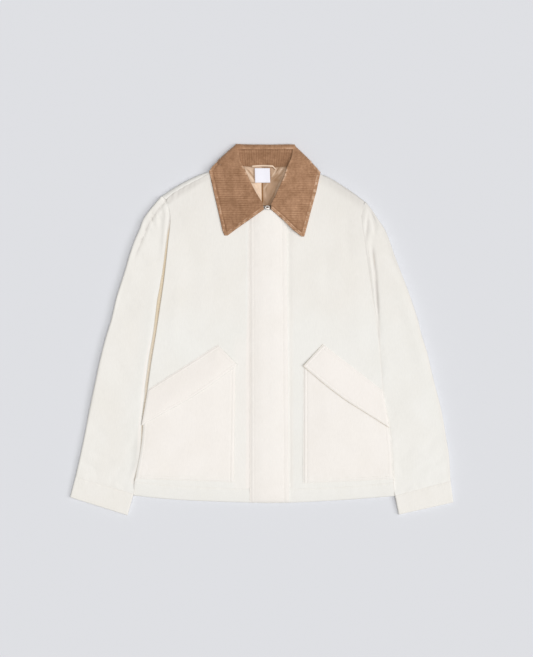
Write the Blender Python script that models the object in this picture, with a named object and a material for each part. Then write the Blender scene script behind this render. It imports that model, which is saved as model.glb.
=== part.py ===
"""A short padded jacket with a corduroy collar, laid flat on its back.

The frame has +Z up off the surface, +Y from the hem to the collar and +X to the
wearer's left. Sizes are in millimetres until place() turns them into metres. The
wearer's right front and sleeve are at negative X.
"""

import math

import bmesh
import bpy
from mathutils import Vector

MM = 0.001
SEAM = 0.3  # the gap that two pieces keep where they are sewn or lie on each other

# Thicknesses of the cloth, and the heights of its layers over the surface.
BACK_TOP = 7.0  # padded back panel
FRONT_LOW = BACK_TOP + SEAM
FRONT_TOP = 15.0  # padded fronts, lying on the back
POCKET_CLOTH = 2.0
FLAP_CLOTH = 2.6
PLACKET_CLOTH = 2.8
TAPE_CLOTH = 1.0
LEAF_CLOTH = 3.2  # two layers of corduroy with their interlining
STAND_CLOTH = 2.4
LINING_CLOTH = 1.0
LABEL_CLOTH = 0.8
LIP_EDGE_Z = 7.0  # where the back's lip comes to its edge along a shoulder
SLEEVE_SLIT = 1.0  # the flat hollow between a sleeve's two layers
CUFF_SLIT = 0.8
WALE_PITCH = 4.7  # corduroy
WALE_HEIGHT = 0.7

ZIP_X = 11.5
NECK_FRONT_Y = 232.0

# Edges of the body in plan, from the hem up or from the wearer's right to left.
HEM_EDGE = [(-248, -325), (-140, -333), (11, -340), (150, -334), (259, -326)]
HEM_SEAM = [(-246, -297), (-150, -306), (11, -313), (150, -308), (257, -299)]
SIDE_RIGHT = [(-246, -297), (-236, -247), (-232, -183), (-219, -81), (-208, -13), (-200, 40)]
ARMHOLE_RIGHT = [(-200, 40), (-192, 95), (-184, 165), (-179, 215), (-184, 251)]
SIDE_LEFT = [(257, -299), (254, -247), (249, -193), (237, -139), (232, -81), (226, -13), (219, 40)]
ARMHOLE_LEFT = [(219, 40), (209, 105), (200, 170), (194, 215), (197, 243)]
SHOULDER_RIGHT = [(-184, 251), (-178, 257), (-165, 266), (-117, 293), (-60, 321)]
SHOULDER_LEFT = [(197, 243), (178, 256), (128, 287), (70, 319)]
SHOULDER_EDGE_RIGHT = [(-195, 257), (-183, 266), (-158, 282), (-117, 302), (-94, 308), (-62, 323)]
SHOULDER_EDGE_LEFT = [(203, 246), (187, 258), (166, 273), (127, 297), (104, 303), (72, 321)]
NECK_RIGHT = [(-60, 321), (-50, 300), (-38, 277), (-20, 252), (ZIP_X, NECK_FRONT_Y)]
NECK_LEFT = [(70, 319), (62, 298), (52, 275), (37, 252), (ZIP_X, NECK_FRONT_Y)]
NECK_BACK = [(-60, 321), (-30, 318), (5, 317), (40, 317), (70, 319)]
NECK_CORNER = 0.345  # share of the back's upper edge where a shoulder meets the neckline

# Sleeves: the outer fold from the shoulder to the cuff seam, and the free inner fold.
SLEEVE_OUT_RIGHT = [
    (-196, 257), (-209, 243), (-222, 227), (-232, 212), (-244, 180), (-263, 126),
    (-283, 63), (-304, -15), (-326, -108), (-345, -202), (-364, -293),
]
SLEEVE_IN_RIGHT = [(-201, 40), (-212, -13), (-225, -81), (-238, -183), (-243, -247), (-252, -322)]
SLEEVE_OUT_LEFT = [
    (204, 246), (213, 233), (225, 215), (237, 196), (248, 173), (270, 112),
    (293, 50), (313, -18), (333, -93), (351, -171), (363, -235), (368, -299),
]
SLEEVE_IN_LEFT = [(220, 40), (227.5, -13), (234, -81), (240, -139), (253, -193), (258, -247), (262, -326)]
CUFF_RIGHT = [(-375, -325), (-262, -360)]
CUFF_LEFT = [(267, -361), (374, -338)]
ARMHOLE_GAP = 0.9
# Shares of a side and its armhole, from the shoulder down, with the sleeve's extra gap there.
ARMHOLE_SHARES = [(0.985, 1.8), (0.94, 0.8), (0.87, 0), (0.81, 0), (0.75, 0), (0.69, 0), (0.64, 0)]
# How high a sleeve stands: share of the way to the cuff, height of its top.
SLEEVE_HEIGHTS = [(0.0, 15.2), (0.2, 18.0), (0.6, 18.0), (0.9, 14.5), (1.0, 12.5)]
CUFF_HEIGHT = 11.5

# The largest folds: start, end, half width and height, which is negative in a trough.
SLEEVE_FOLDS = [
    ((-188, 235), (-198, 150), 7, 2.5),
    ((-216, 226), (-204, 190), 6, -2.0),
    ((-206, 90), (-238, -140), 13, 1.2),
    ((-292, 75), (-252, 20), 15, -1.4),
    ((-330, -245), (-290, -262), 9, -1.4),
    ((208, 228), (224, 30), 6, 2.8),
    ((217, 190), (238, -70), 6, -3.4),
    ((222, 212), (232, 178), 6, -1.8),
    ((262, 100), (318, -100), 12, 1.2),
    ((318, -240), (345, -205), 9, -1.4),
]
FRONT_FOLDS = [
    ((-142, 195), (-138, 30), 17, -1.5),
    ((-98, 160), (-90, 60), 12, -1.1),
    ((-168, 120), (-176, -40), 12, 1.0),
    ((168, 230), (172, 120), 11, -1.6),
    ((122, 170), (126, 60), 11, -1.1),
    ((188, 60), (196, -60), 12, 1.0),
]

# Pockets and their slanted flaps, corner by corner.
POCKET_RIGHT = {"low_out": (-241, -293), "low_in": (-54, -300), "top_in": (-51, -74), "top_out": (-226, -160)}
POCKET_LEFT = {"low_out": (250, -294), "low_in": (81, -302), "top_in": (83, -74), "top_out": (243, -160)}
FLAP_RIGHT = {"top_in": (-86, -31), "low_in": (-47, -71), "low_out": (-230, -189), "top_out": (-221, -119)}
FLAP_LEFT = {"top_in": (119, -30), "low_in": (81, -73), "low_out": (247, -193), "top_out": (235, -120)}

PLACKET_IN = [(-25, 228), (-24, -339)]
PLACKET_FREE = [(46, 228), (48, 0), (52, -339)]
PULL_BULGE_Y = 205.0  # above this the placket clears the zip's pull

# Collar leaf: front edge and inner fold, and the outer edge, each by its height Y.
LEAF_IN_RIGHT = [
    (-67, 181), (-48, 195), (-22, 213), (2, 231), (0, 243), (-13, 267), (-25, 290), (-37, 315), (-45, 335), (-48, 349),
]
LEAF_OUT_RIGHT = [(-73, 181), (-77, 190), (-84, 222), (-94, 265), (-103, 306)]
LEAF_IN_LEFT = [
    (77, 179), (60, 192), (41, 211), (21, 230), (21, 245), (34, 265), (42, 284), (50, 304), (57, 331), (61, 349),
]
LEAF_OUT_LEFT = [(82, 179), (85, 189), (96, 231), (106, 267), (114, 304)]
LEAF_CORNER_RIGHT = (-105, 310)
LEAF_CORNER_LEFT = (114, 308)
COLLAR_TOP_Y = 360.0
COLLAR_CREASE_RIGHT = -52.0  # where the back fold turns into the slanting side fold
COLLAR_CREASE_LEFT = 62.0
STAND_TOP_Y = 349.0
STAND_LOW_Y = 319.0
STAND_SIDE_TOP_Y = 304.0  # up to here the stand lies under the leaf at each side
LEAF_PAST = (14.0, 78.0)  # how much of the leaf goes over its fold, by a shoulder and behind the neck
LEAF_UNDER_Y = 287.0  # the back panel makes room for the leaf behind it down to here
LEAF_LIFT = 7.4  # the leaf rises over the placket and the stand

LABEL_CENTRE = (0.7, 298.0)
LABEL_SIZE = (29.0, 27.5)
LOOP_SPAN = (-21.0, 26.0)
LOOP_Y = 316.0
LOOP_WIDTH = 5.0
LOOP_RISE = 1.6
LOOP_CLOTH = 1.2
LINING_INSET = 4.0
LINING_PLEAT = {"x": -0.5, "rise": 1.3}  # folded at the centre back, open to the wearer's left
LINING_FOLDS = [
    ((-38, 312), (-12, 284), 4, 0.8),
    ((18, 312), (46, 292), 5, 0.8),
    ((14, 290), (40, 268), 4, -0.3),
]
TAPE_WIDTH = 26.0
PULL = {"width": 5.5, "length": 21.0, "thick": 1.3}
SLIDER = {"y": 236.0, "width": 10.0, "length": 12.0, "thick": 3.6}

COTTON = ("cream_cotton", (0.86, 0.84, 0.79), 0.85, 0.0)
CORDUROY = ("tan_corduroy", (0.40, 0.22, 0.12), 0.9, 0.0)
SATIN = ("sand_satin", (0.62, 0.42, 0.27), 0.35, 0.0)
TAPE = ("zip_tape", (0.80, 0.77, 0.71), 0.8, 0.0)
NICKEL = ("nickel", (0.72, 0.70, 0.67), 0.3, 1.0)
LABEL = ("white_label", (0.88, 0.88, 0.90), 0.7, 0.0)


def smooth(low, high, x):
    """0 below low, 1 above high, and an even rise between; low may be the larger."""
    t = min(1.0, max(0.0, (x - low) / (high - low)))
    return t * t * (3 - 2 * t)


def mix(a, b, t):
    return a + (b - a) * t


def follow(points, t):
    """The point at share t of the smooth line through a table's points."""
    points = [Vector(p) for p in points]
    steps = [(b - a).length for a, b in zip(points, points[1:])]
    left = min(1.0, max(0.0, t)) * sum(steps)
    i = 0
    while i < len(steps) - 1 and left > steps[i]:
        left -= steps[i]
        i += 1
    s = left / steps[i]
    a, b = points[i], points[i + 1]
    before = points[i - 1] if i else a * 2 - b
    after = points[i + 2] if i + 2 < len(points) else b * 2 - a
    span = steps[i]
    go_in = (b - before) * (span / max((b - before).length, 1e-6))
    go_out = (after - a) * (span / max((after - a).length, 1e-6))
    return (
        a * (2 * s**3 - 3 * s**2 + 1)
        + go_in * (s**3 - 2 * s**2 + s)
        + b * (3 * s**2 - 2 * s**3)
        + go_out * (s**3 - s**2)
    )


def table(rows, t):
    """A value read from a table of (share, value) rows, with even rises between them."""
    for (t0, a), (t1, b) in zip(rows, rows[1:]):
        if t <= t1:
            return mix(a, b, smooth(t0, t1, t))
    return rows[-1][1]


def patch(low, high, first, last):
    """Plan of a panel between four edges: low and high run along u, first and last along v."""

    def plan(u, v):
        edges = follow(low, u) * (1 - v) + follow(high, u) * v
        edges += follow(first, v) * (1 - u) + follow(last, v) * u
        corners = follow(low, 0) * (1 - u) * (1 - v) + follow(low, 1) * u * (1 - v)
        corners += follow(high, 0) * (1 - u) * v + follow(high, 1) * u * v
        return edges - corners

    return plan


def bulge(distance, reach):
    """How full a rounded edge is at a distance in from it: 0 at the edge, 1 past its reach."""
    return math.sqrt(1 - (1 - min(1.0, max(0.0, distance / reach))) ** 2)


def fold_height(folds, x, y):
    """The height that the folds of a table add at a place in plan."""
    height = 0.0
    for start, end, half_width, rise in folds:
        a, b = Vector(start), Vector(end)
        along = b - a
        t = min(1.0, max(0.0, (Vector((x, y)) - a).dot(along) / along.length_squared))
        off = (Vector((x, y)) - a - along * t).length
        height += rise * math.exp(-((off / half_width) ** 2)) * math.sin(math.pi * (0.12 + 0.76 * t))
    return height


def shares(count, *near):
    """Shares from 0 to 1: even steps, with extra ones near both ends."""
    even = {i / count for i in range(count + 1)}
    return sorted(even | set(near) | {1 - n for n in near})


def material(spec):
    name, colour, roughness, metallic = spec
    made = bpy.data.materials.get(name) or bpy.data.materials.new(name)
    made.use_nodes = True
    shader = made.node_tree.nodes["Principled BSDF"]
    shader.inputs["Base Color"].default_value = (*colour, 1.0)
    shader.inputs["Roughness"].default_value = roughness
    shader.inputs["Metallic"].default_value = metallic
    return made


def place(name, shape, spec):
    """Turns a shape in millimetres into an object in metres."""
    bmesh.ops.scale(shape, vec=(MM, MM, MM), verts=shape.verts)
    bmesh.ops.recalc_face_normals(shape, faces=shape.faces)
    mesh = bpy.data.meshes.new(name)
    shape.to_mesh(mesh)
    shape.free()
    mesh.materials.append(material(spec))
    mesh.shade_smooth()
    mesh.set_sharp_from_angle(angle=math.radians(50))
    made = bpy.data.objects.new(name, mesh)
    bpy.context.scene.collection.objects.link(made)
    return made


def wall(name, spec, us, vs, outer, inner, round_about=False):
    """A closed wall of cloth over a grid of shares: one side at outer(u, v), the other at inner(u, v).
    round_about joins the last column to the first, which makes a tube."""
    shape = bmesh.new()
    columns = us + [us[0]] if round_about else us
    bmesh.ops.create_grid(shape, x_segments=len(columns) - 1, y_segments=len(vs) - 1, size=0.5)
    u_of = shape.verts.layers.float.new("u")
    v_of = shape.verts.layers.float.new("v")
    grid = {}
    for vert in shape.verts:
        i = round((vert.co.x + 0.5) * (len(columns) - 1))
        j = round((vert.co.y + 0.5) * (len(vs) - 1))
        grid[i, j] = vert
        vert[u_of], vert[v_of] = columns[i], vs[j]
        vert.co = outer(columns[i], vs[j])
    if round_about:
        last = len(columns) - 1
        bmesh.ops.weld_verts(shape, targetmap={grid[last, j]: grid[0, j] for j in range(len(vs))})
    other = bmesh.ops.extrude_face_region(shape, geom=shape.faces[:])["geom"]
    for vert in other:
        if isinstance(vert, bmesh.types.BMVert):
            vert.co = inner(vert[u_of], vert[v_of])
    bmesh.ops.triangulate(shape, faces=shape.faces)
    return place(name, shape, spec)


def body_panel(name, us, vs, plan, top, low):
    """A cotton panel lying flat: top(x, y, u, v) and low(x, y, u, v) give its two heights."""

    def side(height):
        def at(u, v):
            x, y = plan(u, v)
            return Vector((x, y, height(x, y, u, v)))

        return at

    return wall(name, COTTON, us, vs, side(top), side(low))


def inset(points, dx=0.0, dy=0.0):
    return [(x + dx, y + dy) for x, y in points]


def leaf_cover(x, y):
    """1 where the collar leaf lies under the back panel, fading to 0 round it."""
    return smooth(LEAF_UNDER_Y - 22, LEAF_UNDER_Y - 4, y) * smooth(150, 118, abs(x - 5))


def make_back():
    """The back in one piece: flat under the fronts, with a lip that comes over each shoulder to its seam."""
    plan_body = patch(
        inset(HEM_SEAM, dy=SEAM / 2),
        SHOULDER_RIGHT[:-1] + NECK_BACK + SHOULDER_LEFT[-2::-1],
        SIDE_RIGHT + ARMHOLE_RIGHT[1:],
        SIDE_LEFT + ARMHOLE_LEFT[1:],
    )
    seam_line = SHOULDER_RIGHT[:-1] + NECK_BACK + SHOULDER_LEFT[-2::-1]
    edge_line = SHOULDER_EDGE_RIGHT[:-1] + inset(NECK_BACK, dy=2.0) + SHOULDER_EDGE_LEFT[-2::-1]

    def lip(u):
        """1 on a shoulder, 0 on the neckline."""
        x = follow(seam_line, u).x
        return smooth(50, 80, abs(x - 5))

    def plan(u, v):
        if v <= 1:
            return plan_body(u, v)
        seam = follow(seam_line, u)
        out = follow(edge_line, u)
        return seam + (out - seam) * (v - 1)

    def top(x, y, u, v):
        edge = min(u, 1 - u) * 440
        if v <= 1.0:
            return BACK_TOP - 1.0 * (1 - bulge(edge, 6))
        share = v - 1
        over = mix(FRONT_TOP - 1.2, LIP_EDGE_Z + 1.0, smooth(0.2, 1.0, share))
        return mix(BACK_TOP - 1.5 * share, over, lip(u))

    def low(x, y, u, v):
        edge = min(u, 1 - u) * 440
        rise = 3.6 * (1 - bulge(edge, 6)) if v <= 1 else mix(3.0, LIP_EDGE_Z - 1.0, lip(u)) * (v - 1) ** 2
        return max(rise, (LEAF_CLOTH + 0.9) * leaf_cover(x, y))

    return body_panel(
        "back_panel",
        shares(16, 0.006, 0.016, 0.04, NECK_CORNER),
        shares(12)[:-1] + [0.95, 1.0, 1.06, 1.5, 2.0],
        plan,
        top,
        low,
    )


def make_fronts():
    sides = {
        "front_right": (SIDE_RIGHT + ARMHOLE_RIGHT[1:], SHOULDER_RIGHT, NECK_RIGHT, -SEAM / 2),
        "front_left": (SIDE_LEFT + ARMHOLE_LEFT[1:], SHOULDER_LEFT, NECK_LEFT, SEAM / 2),
    }
    for name, (side, shoulder, neck, half_gap) in sides.items():
        centre_x = ZIP_X + half_gap
        hem = [p for p in HEM_SEAM if (p[0] - ZIP_X) * half_gap > 0] + [(centre_x, -313)]
        hem.sort(key=lambda p: abs(p[0] - ZIP_X), reverse=True)
        centre = [(centre_x, -313 + SEAM / 2), (centre_x, 0), (centre_x, NECK_FRONT_Y - 40)]
        corner = [(centre_x, NECK_FRONT_Y - 4), (centre_x, NECK_FRONT_Y - 2), (centre_x + 8 * half_gap, NECK_FRONT_Y)]
        centre += corner + [(x + half_gap, y - 1) for x, y in neck[-2::-1]]
        hem, shoulder = inset(hem, dy=SEAM / 2), inset(shoulder, dy=-1.4)
        side = [hem[0]] + side[1:-1] + [shoulder[0]]
        centre[0], centre[-1] = hem[-1], shoulder[-1]
        plan = patch(hem, shoulder, side, centre)
        side_length = 260

        def top(x, y, u, v, length=side_length):
            at_side = bulge(u * length, 5)
            at_centre = bulge((1 - u) * length, 4)
            at_hem = bulge(v * 560, 5)
            at_shoulder = bulge((1 - v) * 560, 8)
            drop = 3.2 * (1 - at_side) + 1.2 * (1 - at_centre) + 1.0 * (1 - at_hem) + 1.5 * (1 - at_shoulder)
            return FRONT_TOP - drop + fold_height(FRONT_FOLDS, x, y) * at_side

        def low(x, y, u, v):
            return FRONT_LOW

        body_panel(name, shares(14, 0.008, 0.02), shares(16, 0.008), plan, top, low)


def make_hem_bands():
    """The band along the hem: one piece behind, one on each front."""
    seam = inset(HEM_SEAM, dy=-SEAM / 2)

    def back_top(x, y, u, v):
        return BACK_TOP - 0.8 * (1 - bulge(v * 28, 5))

    def back_low(x, y, u, v):
        return 3.4 * (1 - bulge(v * 28, 6)) + 1.5 * (1 - bulge(min(u, 1 - u) * 500, 6))

    body_panel(
        "hem_band_back",
        shares(12, 0.006),
        [0.0, 0.06, 0.2, 1.0],
        patch(HEM_EDGE, seam, [HEM_EDGE[0], seam[0]], [HEM_EDGE[-1], seam[-1]]),
        back_top,
        back_low,
    )
    for name, sign in (("hem_band_right", -1), ("hem_band_left", 1)):
        centre_x = ZIP_X + sign * SEAM / 2
        edge = [p for p in HEM_EDGE if (p[0] - ZIP_X) * sign > 5] + [(centre_x, -340)]
        top_line = [p for p in seam if (p[0] - ZIP_X) * sign > 5] + [(centre_x, -313 - SEAM / 2)]
        edge.sort(key=lambda p: p[0] * sign, reverse=True)
        top_line.sort(key=lambda p: p[0] * sign, reverse=True)

        def top(x, y, u, v):
            at_edge = bulge(v * 28, 6)
            at_seam = bulge((1 - v) * 28, 4)
            at_side = bulge(u * 250, 5)
            return FRONT_TOP + 0.4 - 4.5 * (1 - at_edge) - 1.4 * (1 - at_seam) - 2.4 * (1 - at_side)

        def low(x, y, u, v):
            return FRONT_LOW

        body_panel(
            name,
            shares(6, 0.012),
            [0.0, 0.06, 0.22, 0.85, 1.0],
            patch(edge, top_line, [edge[0], top_line[0]], [edge[-1], top_line[-1]]),
            top,
            low,
        )


def tube(name, plan, across, along, height, folds, wall_side, slit, round_top, width_of):
    """A flat tube of cloth lying on the surface. u from 0 to 1 runs over its upper layer, and on to 2 back
    along its lower layer; v runs along it."""

    def shape_at(u, v, inside):
        share = u if u <= 1 else 2 - u
        width = width_of(v)
        edge = min(share, 1 - share) * width
        upper = u <= 1
        middle = height(v) / 2
        if inside:
            share = (wall_side + share * (width - 2 * wall_side)) / width
            x, y = plan(share, v)
            half = slit / 2 * bulge(edge, 12)
            return Vector((x, y, middle + half if upper else middle - half))
        x, y = plan(share, v)
        if upper:
            full = bulge(edge, round_top)
            return Vector((x, y, middle + (height(v) - middle + fold_height(folds, x, y)) * full))
        return Vector((x, y, middle * (1 - bulge(edge, 9))))

    us = across + [2 - share for share in (0.97, 0.9, 0.66, 0.33, 0.1, 0.03)]
    return wall(
        name,
        COTTON,
        us,
        along,
        lambda u, v: shape_at(u, v, False),
        lambda u, v: shape_at(u, v, True),
        round_about=True,
    )


def make_sleeves():
    """Each sleeve is one flat tube, open at the armhole and at the cuff."""
    across = [0.0, 0.012, 0.045, 0.11, 0.22, 0.36, 0.5, 0.64, 0.78, 0.89, 0.955, 0.988, 1.0]
    sides = {
        "sleeve_right": (SIDE_RIGHT, ARMHOLE_RIGHT, SLEEVE_OUT_RIGHT, SLEEVE_IN_RIGHT, -1.0),
        "sleeve_left": (SIDE_LEFT, ARMHOLE_LEFT, SLEEVE_OUT_LEFT, SLEEVE_IN_LEFT, 1.0),
    }
    for name, (side, armhole, out, free, sign) in sides.items():
        body = side + armhole[1:]
        line = [follow(body, share) + Vector((sign * (ARMHOLE_GAP + more), 0)) for share, more in ARMHOLE_SHARES]
        line = [out[0]] + line + [free[0]]
        plan = patch(line, [out[-1], free[-1]], out, free)

        def height(v):
            seam_drop = 1.8 * (1 - bulge(v * 450, 9))
            return table(SLEEVE_HEIGHTS, v) - seam_drop - 1.2 * (1 - bulge((1 - v) * 450, 6))

        tube(
            name, plan, across, shares(17, 0.012), height, SLEEVE_FOLDS, 6.5, SLEEVE_SLIT, 13,
            lambda v, plan=plan: (plan(1, v) - plan(0, v)).length,
        )


def make_cuffs():
    """Each cuff is a short flat band round the end of its sleeve."""
    across = [0.0, 0.02, 0.07, 0.18, 0.35, 0.5, 0.65, 0.82, 0.93, 0.98, 1.0]
    sides = {
        "cuff_right": (SLEEVE_OUT_RIGHT[-1], SLEEVE_IN_RIGHT[-1], CUFF_RIGHT[0], CUFF_RIGHT[1]),
        "cuff_left": (SLEEVE_OUT_LEFT[-1], SLEEVE_IN_LEFT[-1], CUFF_LEFT[1], CUFF_LEFT[0]),
    }
    for name, (out, free, low_out, low_in) in sides.items():
        out_seam = Vector(out) + (Vector(low_out) - Vector(out)).normalized() * SEAM
        in_seam = Vector(free) + (Vector(low_in) - Vector(free)).normalized() * SEAM
        plan = patch([out_seam, in_seam], [low_out, low_in], [out_seam, low_out], [in_seam, low_in])

        def height(v):
            return CUFF_HEIGHT - 1.6 * (1 - bulge(v * 34, 4)) - 2.0 * (1 - bulge((1 - v) * 34, 5))

        tube(
            name, plan, across, [0.0, 0.06, 0.2, 0.5, 0.8, 0.94, 1.0], height, [], 4.5, CUFF_SLIT, 9,
            lambda v, plan=plan: (plan(1, v) - plan(0, v)).length,
        )


def on_front(name, cloth, plan, us, vs, rest, edge_drop=0.7):
    """A piece that lies on a front: rest(x, y, u, v) is how high its underside is over the front."""

    def low(x, y, u, v):
        return FRONT_TOP + SEAM + rest(x, y, u, v)

    def top(x, y, u, v):
        edge = min(bulge(min(u, 1 - u) * 150, 4), bulge(min(v, 1 - v) * 60, 2.5))
        return low(x, y, u, v) + cloth - edge_drop * (1 - edge)

    return body_panel(name, us, vs, plan, top, low)


def make_pockets():
    for name, at in (("pocket_right", POCKET_RIGHT), ("pocket_left", POCKET_LEFT)):
        plan = patch(
            [at["low_out"], at["low_in"]],
            [at["top_out"], at["top_in"]],
            [at["low_out"], mix(Vector(at["low_out"]), Vector(at["top_out"]), 0.5), at["top_out"]],
            [at["low_in"], at["top_in"]],
        )
        on_front(name, POCKET_CLOTH, plan, shares(4, 0.02), shares(5, 0.02), lambda x, y, u, v: 0.0)
    over_pocket = POCKET_CLOTH + SEAM
    for name, at in (("pocket_flap_right", FLAP_RIGHT), ("pocket_flap_left", FLAP_LEFT)):
        low_in, low_out = Vector(at["low_in"]), Vector(at["low_out"])
        sag = (low_in + low_out) / 2 + Vector((0, -7.0))
        plan = patch(
            [low_in, mix(low_in, sag, 0.5) + Vector((0, -2)), sag, mix(sag, low_out, 0.5), low_out],
            [at["top_in"], at["top_out"]],
            [low_in, at["top_in"]],
            [low_out, at["top_out"]],
        )

        def rest(x, y, u, v):
            return over_pocket * smooth(1.0, 0.72, v)

        on_front(name, FLAP_CLOTH, plan, shares(8, 0.02), shares(5, 0.05), rest)


def placket_rest(x, y):
    """How high the placket's underside is over the fronts: it bridges the zip, and its pull at the top."""
    over_zip = smooth(PLACKET_IN[0][0] + 2, ZIP_X - 20, x) * smooth(PLACKET_FREE[0][0] + 4, ZIP_X + 20, x)
    bridge = TAPE_CLOTH + 2 * SEAM + 2.0 * smooth(PULL_BULGE_Y - 22, PULL_BULGE_Y, y)
    return bridge * over_zip


def make_placket():
    """The storm flap over the zip, sewn on the wearer's right front and free along its other edge."""
    plan = patch(
        [PLACKET_IN[-1], PLACKET_FREE[-1]], [PLACKET_IN[0], PLACKET_FREE[0]], PLACKET_IN[::-1], PLACKET_FREE[::-1]
    )

    def low(x, y, u, v):
        over_band = 0.4 * smooth(-305, -313, y)
        return FRONT_TOP + SEAM + over_band + placket_rest(x, y)

    def top(x, y, u, v):
        edge = min(bulge(min(u, 1 - u) * 72, 4), bulge(min(v, 1 - v) * 570, 4))
        return low(x, y, u, v) + PLACKET_CLOTH - 0.9 * (1 - edge)

    us = [0.0, 0.04, 0.2, 0.28, 0.5, 0.74, 0.82, 0.96, 1.0]
    body_panel("placket", us, shares(10, 0.004, 0.03, 0.055), plan, top, low)


def leaf_lift(x, y):
    """How far the collar leaf's underside is over the fronts, so that it clears the placket and the stand."""
    up = smooth(NECK_FRONT_Y - 20, 330, y)
    right = smooth(mix(-72, -100, up), mix(-28, -52, up), x)
    left = smooth(mix(98, 112, up), mix(55, 64, up), x)
    return LEAF_LIFT * min(right, left) * mix(1.0, 0.82, smooth(240, 290, y))


def leaf_side(inner_line, outer_line, corner, crease, out):
    """Stations of one half of the leaf, from its tip to where it turns along the back of the neck.

    Each has its inner point, its outer point or the point of its fold, the fold's outward direction, the
    length that goes over the fold, the heights of its middle at the inner point and by the fold, and its wale.
    """
    stations = []
    low_y, high_y = inner_line[0][1], outer_line[-1][1]
    count = 2 * round((high_y - low_y) / WALE_PITCH)
    for i in range(count + 1):
        y = mix(low_y, high_y, i / count)
        inner, outer = Vector((x_at(inner_line, y), y)), Vector((x_at(outer_line, y), y))
        stations.append({"inner": inner, "outer": outer, "wale": i % 2})
    corner, crease = Vector(corner), Vector(crease)
    for share in (0.2, 0.4, 0.6, 0.8, 1.0):
        y = mix(high_y, STAND_TOP_Y, share)
        over_neck = smooth(0.45, 1.0, share)
        stations.append({
            "inner": Vector((x_at(inner_line, y), y)),
            "fold": corner.lerp(crease, share),
            "out": Vector(out).lerp(Vector((0, 1)), 0.6 * smooth(0.7, 1.0, share)).normalized(),
            "past": mix(*LEAF_PAST, ((share - 0.2) / 0.8) ** 1.5),
            "inner_z": mix(FRONT_TOP + SEAM + LEAF_CLOTH / 2 + 0.82 * LEAF_LIFT, BACK_ROLL_Z, over_neck),
            "fold_z": mix(FRONT_TOP + SEAM + LEAF_CLOTH / 2 + 1.5, BACK_ROLL_Z, over_neck),
            "wale": 0.5,
        })
    return stations


def leaf_stations():
    """Lines across the collar leaf from the wearer's right tip, round the neck, to the left tip."""
    right = leaf_side(
        LEAF_IN_RIGHT, LEAF_OUT_RIGHT, LEAF_CORNER_RIGHT, (COLLAR_CREASE_RIGHT, COLLAR_TOP_Y), (-0.68, 0.73)
    )
    left = leaf_side(
        LEAF_IN_LEFT, LEAF_OUT_LEFT, LEAF_CORNER_LEFT, (COLLAR_CREASE_LEFT, COLLAR_TOP_Y), (0.70, 0.71)
    )
    back = []
    for i in range(1, LEAF_BACK_STEPS):
        share = i / LEAF_BACK_STEPS
        back.append({
            "inner": right[-1]["inner"].lerp(left[-1]["inner"], share),
            "fold": Vector((mix(COLLAR_CREASE_RIGHT, COLLAR_CREASE_LEFT, share), COLLAR_TOP_Y)),
            "out": Vector((0, 1)),
            "past": LEAF_PAST[1],
            "inner_z": BACK_ROLL_Z,
            "fold_z": BACK_ROLL_Z,
            "wale": 0.5,
        })
    return right + back + left[::-1]


def x_at(line, y):
    """X on a line given by rising Y."""
    for (x0, y0), (x1, y1) in zip(line, line[1:]):
        if y <= y1:
            return mix(x0, x1, max(0.0, (y - y0) / (y1 - y0)))
    return line[-1][0]


LEAF_BACK_STEPS = 10
LEAF_FLAT_SHARES = [0.0, 0.06, 0.35, 0.45, 0.55, 0.65, 0.94, 1.0]
LEAF_ROLL_SHARES = [0.0, 0.3, 0.6, 1.0]  # round the half turn at the fold
BACK_ROLL_Z = 14.0  # middle of the leaf where it meets the stand behind the neck


def leaf_middle(station, j):
    """The middle of the leaf's wall at column j between its inner and its outer edge."""
    inner = station["inner"]
    if "outer" in station:
        flat = inner.lerp(station["outer"], LEAF_FLAT_SHARES[j])
        return Vector((flat.x, flat.y, FRONT_TOP + SEAM + LEAF_CLOTH / 2 + leaf_lift(flat.x, flat.y)))
    out = station["out"]
    way = (station["fold"] - inner).normalized()
    low_z = LEAF_CLOTH / 2
    radius = (station["fold_z"] - low_z) / 2
    flat = (station["fold"] - inner).length - (radius + LEAF_CLOTH / 2) / way.dot(out)
    rolled = min(math.pi * radius, station["past"] - 1.5)
    behind = station["past"] - rolled
    ways = [0.0, min(4.0, flat * 0.5)]
    ways += [flat + rolled * share for share in LEAF_ROLL_SHARES]
    ways += [flat + rolled + behind * 0.9, flat + rolled + behind]
    past = ways[j] - flat
    if past <= 0:
        xy = inner + way * ways[j]
        return Vector((xy.x, xy.y, mix(station["inner_z"], station["fold_z"], ways[j] / flat)))
    angle = min(past / radius, math.pi)
    xy = inner + way * flat + out * radius * math.sin(angle)
    xy.y -= max(0.0, past - math.pi * radius)
    return Vector((xy.x, xy.y, low_z + radius + radius * math.cos(angle)))


def make_leaf():
    """The corduroy leaf of the collar: one strip, flat on the fronts and folded down behind the neck."""
    stations = leaf_stations()
    last_s, last_t = len(stations) - 1, len(LEAF_FLAT_SHARES) - 1
    middles = [[leaf_middle(s, j) for j in range(last_t + 1)] for s in stations]

    def normal(i, j):
        along = middles[min(i + 2, last_s)][j] - middles[max(i - 2, 0)][j]
        across = middles[i][min(j + 1, last_t)] - middles[i][max(j - 1, 0)]
        return along.cross(across).normalized()

    def layer(sign):
        def at(u, v):
            i, j = round(u), round(v)
            wale = stations[i]["wale"] * WALE_HEIGHT if sign > 0 else 0.0
            rim = 0.6 if j in (0, last_t) or i in (0, last_s) else 0.0
            return middles[i][j] + normal(i, j) * sign * (LEAF_CLOTH / 2 - rim - WALE_HEIGHT / 2 + wale)

        return at

    wall("collar_leaf", CORDUROY, list(range(last_s + 1)), list(range(last_t + 1)), layer(1), layer(-1))


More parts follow.
